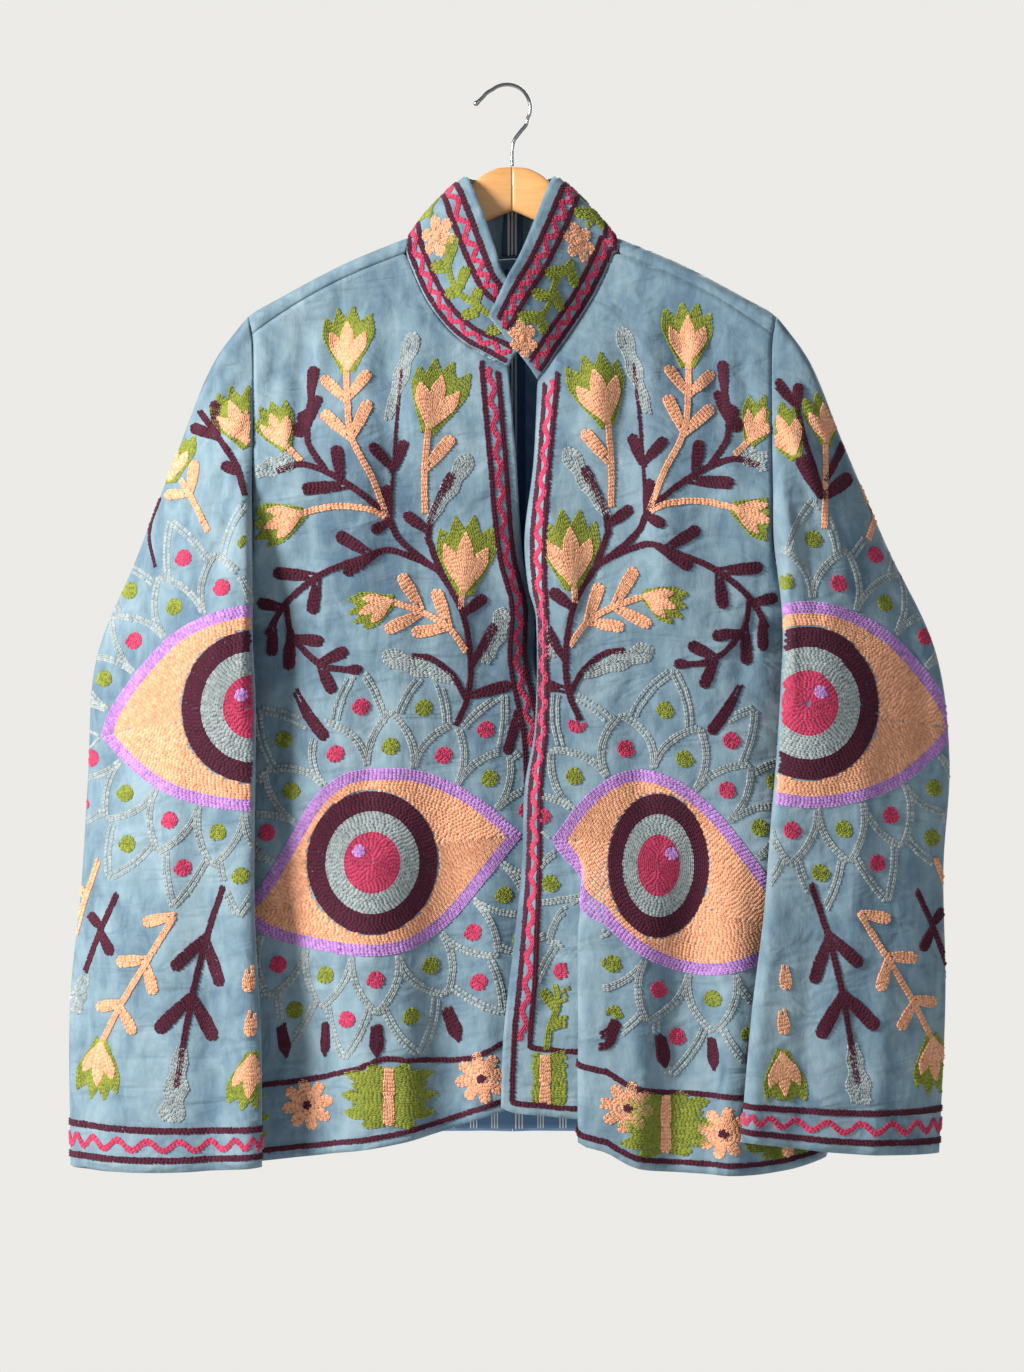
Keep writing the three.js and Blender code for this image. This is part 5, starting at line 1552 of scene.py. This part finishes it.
bodyEye = {
    -1: {
        "upper": ((-7.3, 560.2), (27.6, 531.2), (64.8, 513.7), (95, 510.9), (124, 515), (146, 533),
        (166, 566),
                  (186, 598), (206, 617)),
        "lower": ((206, 617), (180, 634), (146, 642.8), (106.6, 647.4), (74, 642.8), (46.2, 624.2),
        (18.3, 591.6),
                  (-7.3, 560.2)),
        "centre": (102.9, 579.5), "radii": (47.4, 52)},
    1: {
        "upper": ((29, 562.5), (56, 529), (85.3, 512.3), (116, 517), (148, 540), (178, 577), (214, 628)),
        "lower": ((214, 628), (190, 649), (160, 660), (131, 660.6), (101, 650), (73, 629), (48, 594),
        (29, 562.5)),
        "centre": (107, 581.5), "radii": (36.5, 52)},
}
hemBand = {
    -1: {"upper": ((6.6, 712.5), (32.2, 724), (74, 724), (95, 723), (115.9, 731), (164.7, 741.6), (236, 746)),
         "daisies": ((22.9, 738), (150.5, 757.5)), "wings": ((90.3, 750.5), (214, 768)),
         "ovals": (((99.2, 698.5), (99.2, 721.5), 9), ((48.6, 687.6), (38.8, 711.8), 9), ((137, 698),
         (138, 722), 5),
                   ((170, 700), (166, 724), 8))},
    1: {"upper": ((16, 715), (46, 719), (62, 727), (92, 744), (138, 749), (192, 752), (236, 748)),
        "daisies": ((84, 757), (154.3, 777)), "wings": ((24, 741), (112, 771), (203, 776)),
        "ovals": (((108, 706), (112, 730), 9), ((76, 694), (66, 716), 9), ((146, 708), (148, 732), 7),
                  ((176, 708), (174, 732), 8))},
}

sleeveTops = {
    -1: (
        (("maroon", 2, ((232, 246), (217, 266.5), (203, 288), (196, 310))),
         ("peach", 2, ((244.7, 297.5), (234.9, 313.8), (222.9, 337))),
         ("maroon", 1, ((261, 308.9), (269, 336.6), (264, 361)))),
        {"maroon": (((217.4, 265.6), (220.4, 239), 7.5), ((219.4, 268.4), (238.4, 257.4), 8),
                    ((201, 294), (213.6, 286.4), 8.5), ((268, 334), (273, 324), 5)),
         "peach": (((238, 310), (234.2, 283.4), 8), ((239.4, 309.4), (257.6, 308.6), 7.5))},
        ((195.8, 270, 208, 240), (252.8, 296, 249, 268))),
    1: (
        (("maroon", 2, ((208.8, 238), (215.5, 270.6), (222.2, 290.7), (228, 313))),
         ("peach", 2, ((231.6, 268), (230.6, 287.3), (228.9, 334.2))),
         ("peach", 2, ((259.1, 300.7), (268.5, 322.5), (263.1, 341.6)))),
        {"maroon": (((210, 244), (194, 223), 8), ((210, 246), (211.6, 226), 7), ((227, 311),
            (211.2, 281.3), 10),
                    ((229, 311.5), (250.7, 294), 10), ((229, 300), (247, 268), 5)),
         "peach": (((266, 316), (274, 306), 6),)},
        ((231.6, 268, 229.3, 241), (207.2, 279, 195.4, 251)))}
sleeveStems = (
    ("maroon", 2, ((210.4, 594), (223.5, 633), (233.3, 672.5), (239.5, 707), (244.7, 739))),
    ("peach", 2, ((246, 615), (267.5, 649.7), (287, 682.3), (301, 710))),
    ("maroon", 2, ((290, 600.7), (303.4, 630), (314.8, 659.4))),
    ("peach", 2, ((305, 578), (316.4, 610.5), (322.6, 633))),
)
sleeveLeaves = {
    "maroon": (
        ((223.2, 630), (248, 654), 9), ((223.4, 633), (212.4, 667), 9), ((232.6, 673), (259.6, 699.6), 9.5),
        ((233.4, 675), (216.8, 706), 9.5), ((302, 627), (312, 617), 7), ((302.8, 629), (294, 646), 8)),
    "peach": (
        ((247.4, 614), (270, 621), 8),
        ((266.4, 647.8), (290.4, 650.6), 8.5), ((267, 650), (261.6, 672.6), 8.5), ((285.6, 680.6),
        (305.4, 685), 8),
        ((287, 683), (276.4, 702), 8), ((315.4, 606), (324.4, 596), 7), ((190.9, 654), (192, 672), 9),
        ((189, 686), (191, 704), 9)),
}
sleeveTulips = ((301.7, 711.6, 305, 742), (189, 719, 192, 748))
sleeveGreys = (((241, 711), (249.6, 768), 17), ((314, 662), (326, 692), 13))
sleeveEye = {
    "upper": ((304, 486.6), (297, 467), (277, 439), (251, 413), (218.6, 397), (188, 391.5), (157.4, 397),
    (125, 413),
              (99, 439), (79, 467), (72, 486.6)),
    "lower": ((72, 486.6), (92, 506), (118, 524), (151, 535.5), (188, 540.5), (225, 535.5), (258, 524),
    (284, 506),
              (304, 486.6)),
    "centre": (188, 465), "radii": (53, 55)}
# A green twig on the strip between the placket and the lap.
stripStems = (("green", 2, ((25, 716), (27, 700), (33, 684), (31, 668))),)
stripLeaves = {"green": (((27, 700), (41, 693), 7.5), ((31, 688), (22, 672), 7.5), ((33, 680), (44, 666),
    7.5))}
frontShift = {-1: (0.0, 0.0), 1: (8.0, -4.0)}
sleeveShift = {-1: (0.0, 0.0), 1: (27.0, -3.0)}
twigShift = {-1: (0.0, 0.0), 1: (7.0, -2.0)}


# The nearest place on any of the stems, where a leaf's foot is sewn on; else the place itself.
def footOn(stems, place, reach=13.0):
    lines = np.concatenate([smoothLine(points) for _, _, points in stems])
    apart = np.hypot(*(lines - place).T)
    return lines[np.argmin(apart)] if apart.min() < reach else np.asarray(place, float)


# Rows of a group of motifs; a stroke is a leaf from a to c, bent through b.
def motifRows(stems, leaves, tulips, greys, strokes=None):
    rows = []
    for base, tip, width in greys:
        rows += leaf("grey", base, tip, width, teeth=3, waist=0.55, gap=2.5)
    for baseOff, baseDown, tipOff, tipDown in tulips:
        rows += tulip(baseOff, baseDown, tipOff, tipDown)
    for colour, count, points in stems:
        rows += stem(colour, points, count, 0.35)
    for colour, several in leaves.items():
        for base, tip, width in several:
            rows += leaf(colour, footOn(stems, base), tip, width, lift=0.4)
    for colour, several in (strokes or {}).items():
        for a, b, c, width in several:
            across = np.subtract(b, np.add(a, c) / 2)
            way = np.subtract(c, a)
            bend = (across[0] * way[1] - across[1] * way[0]) / (way ** 2).sum()
            rows += leaf(colour, a, c, width, bend=bend)
    return rows


# The net above and below an eye, kept clear of the eye itself.
def eyeNet(upper, lower, firsts=(10.0, 10.0)):
    top, bottom = smoothLine(upper), smoothLine(lower)
    outline = np.concatenate([top, bottom])
    rows = netRows(top, np.array([0.0, -1.0]), firsts[0])
    rows = rows + netRows(bottom, np.array([0.0, 1.0]), firsts[1], ("green", "pink"))
    return keptRows(rows, lambda off, down: ~insideLoop(outline, off, down, 1.2))


# A line of two rows worked close together.
def cordRows(colour, line, gap=1.5):
    across = sideways(line)
    return [(colour, line + across * (hand * gap / 2), 0.1) for hand in (-1, 1)]


# Leaves out the parts of rows that would run under other rows: those within about a stitch of
# any place of them, on a grid of small cells.
cellMm = 1.6


def clearOfRows(rows, others):
    taken = np.concatenate([line for _, line, _ in others])
    origin = taken.min(axis=0) - 4 * cellMm
    cells = np.zeros(((taken.max(axis=0) - origin) / cellMm + 6).astype(int), bool)
    places = ((taken - origin) / cellMm).astype(int)
    for stepX in (-1, 0, 1):
        for stepY in (-1, 0, 1):
            cells[places[:, 0] + stepX, places[:, 1] + stepY] = True

    def free(off, down):
        i = np.clip(((off - origin[0]) / cellMm).astype(int), 0, cells.shape[0] - 1)
        j = np.clip(((down - origin[1]) / cellMm).astype(int), 0, cells.shape[1] - 1)
        return ~cells[i, j]

    return keptRows(rows, free)


# Rows moved by a shift.
def moved(rows, shift):
    return [(colour, line + np.asarray(shift), lift) for colour, line, lift in rows]


# A stretch of zigzag between two edges: a wave of its own height and period.
def zigzag(line, height, period):
    reach = shareAlong(line) * np.hypot(*np.diff(line, axis=0).T).sum()
    return line + sideways(line) * (height * np.sin(2 * np.pi * reach / period))[:, None]


# Keeps the parts of rows whose places pass a test.
def keptRows(rows, inside):
    if not rows:
        return []
    kept = []
    good = inside(*np.concatenate([line for _, line, _ in rows]).T)
    parts = np.split(good, np.cumsum([len(line) for _, line, _ in rows])[:-1])
    for (colour, line, lift), free in zip(rows, parts):
        kept += [(colour, run, lift) for run in runsOf(line, free)]
    return kept


# A wing of the hem's green leaves: pointed fingers of uneven length fanned from the middle.
wingFingers = (
    ((3, -17), (17, -22), 9), ((4, -12), (33, -17), 9), ((4, -5), (28, -9), 8), ((4, 0), (36, -1), 9),
    ((4, 6), (27, 6), 8), ((4, 12), (34, 12), 9), ((3, 17), (20, 20), 9))


# A wing round a centre, to one hand.
def wing(centre, hand, colour="green"):
    rows = []
    for (dx, dy), (tx, ty), width in wingFingers:
        base = (centre[0] + hand * dx, centre[1] + dy)
        rows += leaf(colour, base, (centre[0] + hand * tx, centre[1] + ty), width, waist=1.0, point=0.3)
    return rows


# Rows of the hem's band: wings with a peach bar between them, daisies and ovals.
def hemRows(band):
    rows = []
    for centre in band["wings"]:
        for hand in (-1, 1):
            rows += wing(centre, hand)
        for start, end in ((-21, 1), (-1, 21)):
            bar = leaf("peach", (centre[0], centre[1] + start), (centre[0], centre[1] + end), 8.0, waist=0.8)
            rows += [(c, line, lift + 0.7) for c, line, lift in bar]
    for centre in band["daisies"]:
        rows += daisy(centre)
    for base, tip, width in band["ovals"]:
        rows += leaf("maroon", base, tip, width + 1, waist=0.8, point=0.35, lift=0.3)
    return rows


placketLines = {"outer": 8.0, "zigzag": 13.7, "inner": 19.6, "height": 1.9, "period": 19.5}


# A line down the placket, a given distance in from its free edge.
def placketLine(side, distance, top, bottom):
    down = np.arange(top, bottom, 1.5)
    edge = frontEdge[side]
    turn = np.radians(read(edge, "down", "turn", down))
    return np.stack([read(edge, "down", "off", down) + distance * np.cos(turn), down], axis=-1)


# How far down a front's top edge lies: the neck's line, then the shoulder seam.
def neckDown(side, off):
    neck = neckLine[side]
    onSeam = ridgeDown(off) + read(seamLine, "off", "drop", off)
    return np.where(off < neckOff, read(neck, "off", "down", off), onSeam)


def frontRowsOf(side):
    band = hemBand[side]
    hem = frontHem[side]
    shift = frontShift[side]
    top = float(neckLine[side]["down"][0]) + 3
    upper = smoothLine(band["upper"])
    corner = upper[0]
    lowerStart = placketLines["outer"] - 8.5 + float(frontEdge[side]["off"][-1]) + 8
    offs = np.arange(lowerStart, 236, 1.5)
    lower = np.stack([offs, read(hem, "off", "down", offs) - 7.5], axis=-1)
    inner = placketLine(side, placketLines["inner"], top - 8, corner[1])
    outer = placketLine(side, placketLines["outer"], top, float(lower[0, 1]))
    wave = zigzag(
        placketLine(side, placketLines["zigzag"], top - 2, corner[1] - 4), placketLines["height"],
        placketLines["period"])
    edges = cordRows("maroon", np.concatenate([inner, upper[1:]]))
    edges += cordRows("maroon", np.concatenate([outer, lower[1:]])) + cordRows("pink", wave)
    rows = moved(motifRows(chestStems, chestLeaves, chestTulips, chestGreys, chestStrokes), shift)
    eyeRow = bodyEye[side]
    net = eyeNet(eyeRow["upper"], eyeRow["lower"])
    net = keptRows(net, lambda off, down: down < upperDown(upper, off) - 3)
    rows = rows + hemRows(band) + (motifRows(stripStems, stripLeaves, (), ()) if side > 0 else [])
    rows = clearOfRows(net, rows) + rows
    if side > 0:
        inFold = lap["width"] * 0.9
        rows = keptRows(
            rows, lambda off, down: (down < lap["full"] - 30) | (np.abs(off - lap["off"]) > inFold))
    rows += eye(**eyeRow)

    def clear(off, down):
        edge = frontEdge[side]
        turn = np.radians(read(edge, "down", "turn", down))
        start = read(edge, "down", "off", down) + (placketLines["inner"] + 2.5) * np.cos(turn)
        below = down < read(hem, "off", "down", off) - 10
        return (off > start) & (off < sideOff(down) - 2.5) & (down > neckDown(side, off) + 3) & below

    return keptRows(rows, clear) + keptRows(edges, lambda off, down: off < sideOff(down) - 1.5)


# How far down a line lies at an off.
def upperDown(line, off):
    order = np.argsort(line[:, 0])
    return np.interp(off, line[order, 0], line[order, 1])


# True where a place lies inside a closed loop or nearer to it than the margin.
def insideLoop(loop, off, down, margin=0.0):
    a = loop
    b = np.roll(loop, -1, axis=0)
    off = np.asarray(off)[:, None]
    down = np.asarray(down)[:, None]
    crosses = (a[:, 1] > down) != (b[:, 1] > down)
    rise = np.where(b[:, 1] == a[:, 1], 1e-9, b[:, 1] - a[:, 1])
    at = a[:, 0] + (down - a[:, 1]) * (b[:, 0] - a[:, 0]) / rise
    inside = (crosses & (off < at)).sum(axis=1) % 2 == 1
    near = np.hypot(off - a[:, 0], down - a[:, 1]).min(axis=1) < margin
    return inside | near


# A back half's rows: the chest's sprigs again, an eye and its net, and the hem's band.
def backDesign():
    rows = moved(motifRows(chestStems, chestLeaves, chestTulips[:5], chestGreys, chestStrokes), (4.0, -6.0))
    eyeRow = bodyEye[-1]
    rows += eye(**eyeRow)
    offs = np.arange(0.5, 236, 1.5)
    hemDown = read(backHem, "off", "down", offs)
    upper = np.stack([offs, hemDown - 47], axis=-1)
    lower = np.stack([offs, hemDown - 7.5], axis=-1)
    band = {"daisies": ((48, 762), (140, 766)), "wings": ((4, 761), (94, 764), (188, 769)), "ovals": (
        ((60, 706), (60, 729), 9), ((98, 704), (98, 727), 9), ((148, 706), (150, 729), 8))}
    net = keptRows(
        eyeNet(eyeRow["upper"], eyeRow["lower"]), lambda off, down: down < upperDown(upper, off) - 3)
    rows = rows + hemRows(band)
    rows = clearOfRows(net, rows) + rows

    def clear(off, down):
        below = down < read(backHem, "off", "down", off) - 10
        return (off > 2.0) & (off < sideOff(down) - 3.0) & (down > ridgeDown(off) + 42) & below

    return keptRows(rows, clear) + cordRows("maroon", upper) + cordRows("maroon", lower)


# Rows of a sleeve's sprigs below and above its eye.
def sleeveTwigs(side):
    low = moved(motifRows(sleeveStems, sleeveLeaves, sleeveTulips, sleeveGreys), twigShift[side])
    return low + motifRows(*sleeveTops[side], ())


# One face of a sleeve. The hidden face has the same design, so that the eyes go on round the
# arm from the inner edge.
def sleeveRowsOf(side, face=1):
    rows = sleeveTwigs(side)
    shift = sleeveShift[side]
    eyeRow = {
        key: (np.asarray(value) + shift if key != "radii" else value) for key, value in sleeveEye.items()}
    net = eyeNet(eyeRow["upper"], eyeRow["lower"], (3.0, 20.0))
    rows = clearOfRows(net, rows) + rows
    rows += eye(**eyeRow)
    return keptRows(rows, lambda off, down: onSleeve(side, off, down, face))


# True where a place is on the sleeve and not above its armhole or past its edges.
def onSleeve(side, off, down, face):
    rows = sleeveSections[side]
    lean, at, miss = sleeveShares(side, off, down, face)
    flat = mix(read(rows, "at", "inDown", at), read(rows, "at", "outDown", at), lean)
    missed = np.where(at > sleeveSearch["until"], np.abs(flat - down), miss)
    clearOfArmhole = (down > foldLineDown + 20) | (off > sideOff(down) + 3)
    return (missed < 2) & (lean > 0.012) & (lean < 0.992) & (at > 0.006) & (at < 0.955) & clearOfArmhole


# Lines round a cuff, as angles and heights above its edge.
cuffLines = {"low": 6.0, "zigzag": 13.0, "high": 20.5, "height": 2.2, "waves": 19}


def cuffRows():
    turn = np.linspace(0, 360, 420)
    wave = cuffLines["zigzag"] + cuffLines["height"] * np.sin(2 * np.pi * turn / 360 * cuffLines["waves"])
    lines = (("maroon", cuffLines["low"]), ("maroon", cuffLines["high"]), ("pink", wave))
    rows = []
    for colour, up in lines:
        for step in (-0.75, 0.75):
            rows.append((colour, np.stack([turn, np.zeros_like(turn) + up + step], axis=-1), 0.1))
    return rows


# A sleeve's point at an angle in degrees, so far up from the cuff's edge in mm.
def cuffPlace(side, turn, up):
    return sleevePoint(side, np.radians(turn), 1 - np.asarray(up) / 560.0)


collarLines = {"edges": (50.0, 39.5, 14.0, 3.5), "zigzags": (44.8, 8.8), "height": 2.3, "period": 15.0}
collarFlowers = (113.0, 226.0, 349.0, 440.0)


# Rows of the collar: cords, zigzags, daisies, and a leafy stem between daisies.
def collarRows():
    along = np.arange(4.0, neckLength - 4.0, 1.2)
    rows = []
    for up in collarLines["edges"]:
        rows += cordRows("maroon", np.stack([along, np.full_like(along, up)], axis=-1))
    for up in collarLines["zigzags"]:
        wave = up + collarLines["height"] * np.sin(2 * np.pi * along / collarLines["period"])
        rows += cordRows("pink", np.stack([along, wave], axis=-1))
    for place in collarFlowers:
        rows += daisy((place, 27), 12.5, 6, heart="peach", heartSize=3.0, spread=0.56)
    stops = (0.0,) + collarFlowers
    for start, end in zip(stops[:-1], stops[1:]):
        first, last = start + 14, end - 14
        if last - first < 20:
            continue
        line = smoothLine([
            (first, 26), (mix(first, last, 0.35), 29), (mix(first, last, 0.7), 24), (last, 27)])
        rows += cordRows("green", line, 2.0)
        for k in range(int((last - first) // 24) + 1):
            at = first + 6 + 24 * k
            for hand in (-1, 1):
                tip = (at + 12 + 4 * hand, 26.5 + hand * 11)
                rows += leaf("green", (at + 2 * hand, 26.5), tip, 8.6, waist=0.7, lift=0.2)
    return rows


# The collar's point at so many mm along the neck seam and up from it.
def collarPlace(along, up):
    return collarPoint(np.clip(along / neckLength, 0.001, 0.999), np.clip(up / collarWidth, 0.0, 1.0))


for side in (-1, 1):
    name = sideNames[side]
    stitch("frontEmbroidery." + name, frontRowsOf(side), lambda off, down: frontPlace(side, off, down), -side)
    stitch("backEmbroidery." + name, backDesign(), lambda off, down: backPlace(side, off, down), side)
    stitch(
        "sleeveEmbroidery." + name, sleeveRowsOf(side), lambda off, down: sleevePlace(side, off, down), -side)
    stitch(
        "sleeveBackEmbroidery." + name, sleeveRowsOf(side, -1),
        lambda off, down: sleevePlace(side, off, down, -1), side)
    stitch("cuffEmbroidery." + name, cuffRows(), lambda turn, up: cuffPlace(side, turn, up), -side)
stitch("collarEmbroidery", collarRows(), collarPlace, -1)
print("embroidery made")


# Floor, light and camera.

stageLook = {
    "floorZ": -1.62, "floorSize": 5.0, "floor": "#e4e2de", "world": "#f1f0ed", "shown": 0.95, "light": 0.24}
cameraPlace = {"x": 0.00375, "y": -2.6, "z": -0.45, "lens": 60.6}


# A round light at a place, turned to its aim.
def areaLight(name, place, aim, size, power, colour):
    data = bpy.data.lights.new(name, "AREA")
    data.shape = "DISK"
    data.size = size
    data.energy = power
    data.color = linear(colour)[:3]
    made = bpy.data.objects.new(name, data)
    bpy.context.scene.collection.objects.link(made)
    way = np.subtract(aim, place)
    made.location = place
    made.rotation_euler = Vector(way).to_track_quat("-Z", "Y").to_euler()


# A wide matt floor, and a pale surround that lights less than it shows.
def makeStage():
    size = stageLook["floorSize"]
    material, shader = newMaterial("paleMattFloor")
    shader.inputs["Base Color"].default_value = linear(stageLook["floor"])
    shader.inputs["Roughness"].default_value = 0.9
    corners = np.array([[-size, -size, 0], [size, -size, 0], [size, size, 0], [-size, size, 0]], float) * 500
    corners[:, 2] = stageLook["floorZ"] * 1000
    floor = buildMesh("floor", corners, np.array([[0, 1, 2, 3]]), [material])
    world = bpy.data.worlds.new("paleStudio")
    world.use_nodes = True
    background = world.node_tree.nodes["Background"]
    background.inputs["Color"].default_value = linear(stageLook["world"])
    seen = node(world, "ShaderNodeLightPath").outputs["Is Camera Ray"]
    inputs = {"Value": seen, "To Min": stageLook["light"], "To Max": stageLook["shown"]}
    spread = node(world, "ShaderNodeMapRange", inputs)
    world.node_tree.links.new(spread.outputs["Result"], background.inputs["Strength"])
    bpy.context.scene.world = world
    bpy.context.scene.view_settings.view_transform = "Standard"


makeStage()
areaLight("key", (-2.0, -1.45, 0.5), (0.0, 0.0, -0.45), 0.7, 125.0, "#fffaf4")
areaLight("fill", (1.6, -2.2, 0.0), (0.0, 0.0, -0.5), 1.8, 12.0, "#f4f8ff")
areaLight("back", (0.9, 2.2, 0.6), (0.0, 0.0, -0.4), 1.6, 34.0, "#ffffff")

cameraData = bpy.data.cameras.new("camera")
cameraData.sensor_fit = "VERTICAL"
cameraData.sensor_height = 24.0
cameraData.lens = cameraPlace["lens"]
camera = bpy.data.objects.new("camera", cameraData)
bpy.context.scene.collection.objects.link(camera)
camera.location = (cameraPlace["x"], cameraPlace["y"], cameraPlace["z"])
camera.rotation_euler = (math.pi / 2, 0.0, 0.0)
bpy.context.scene.camera = camera
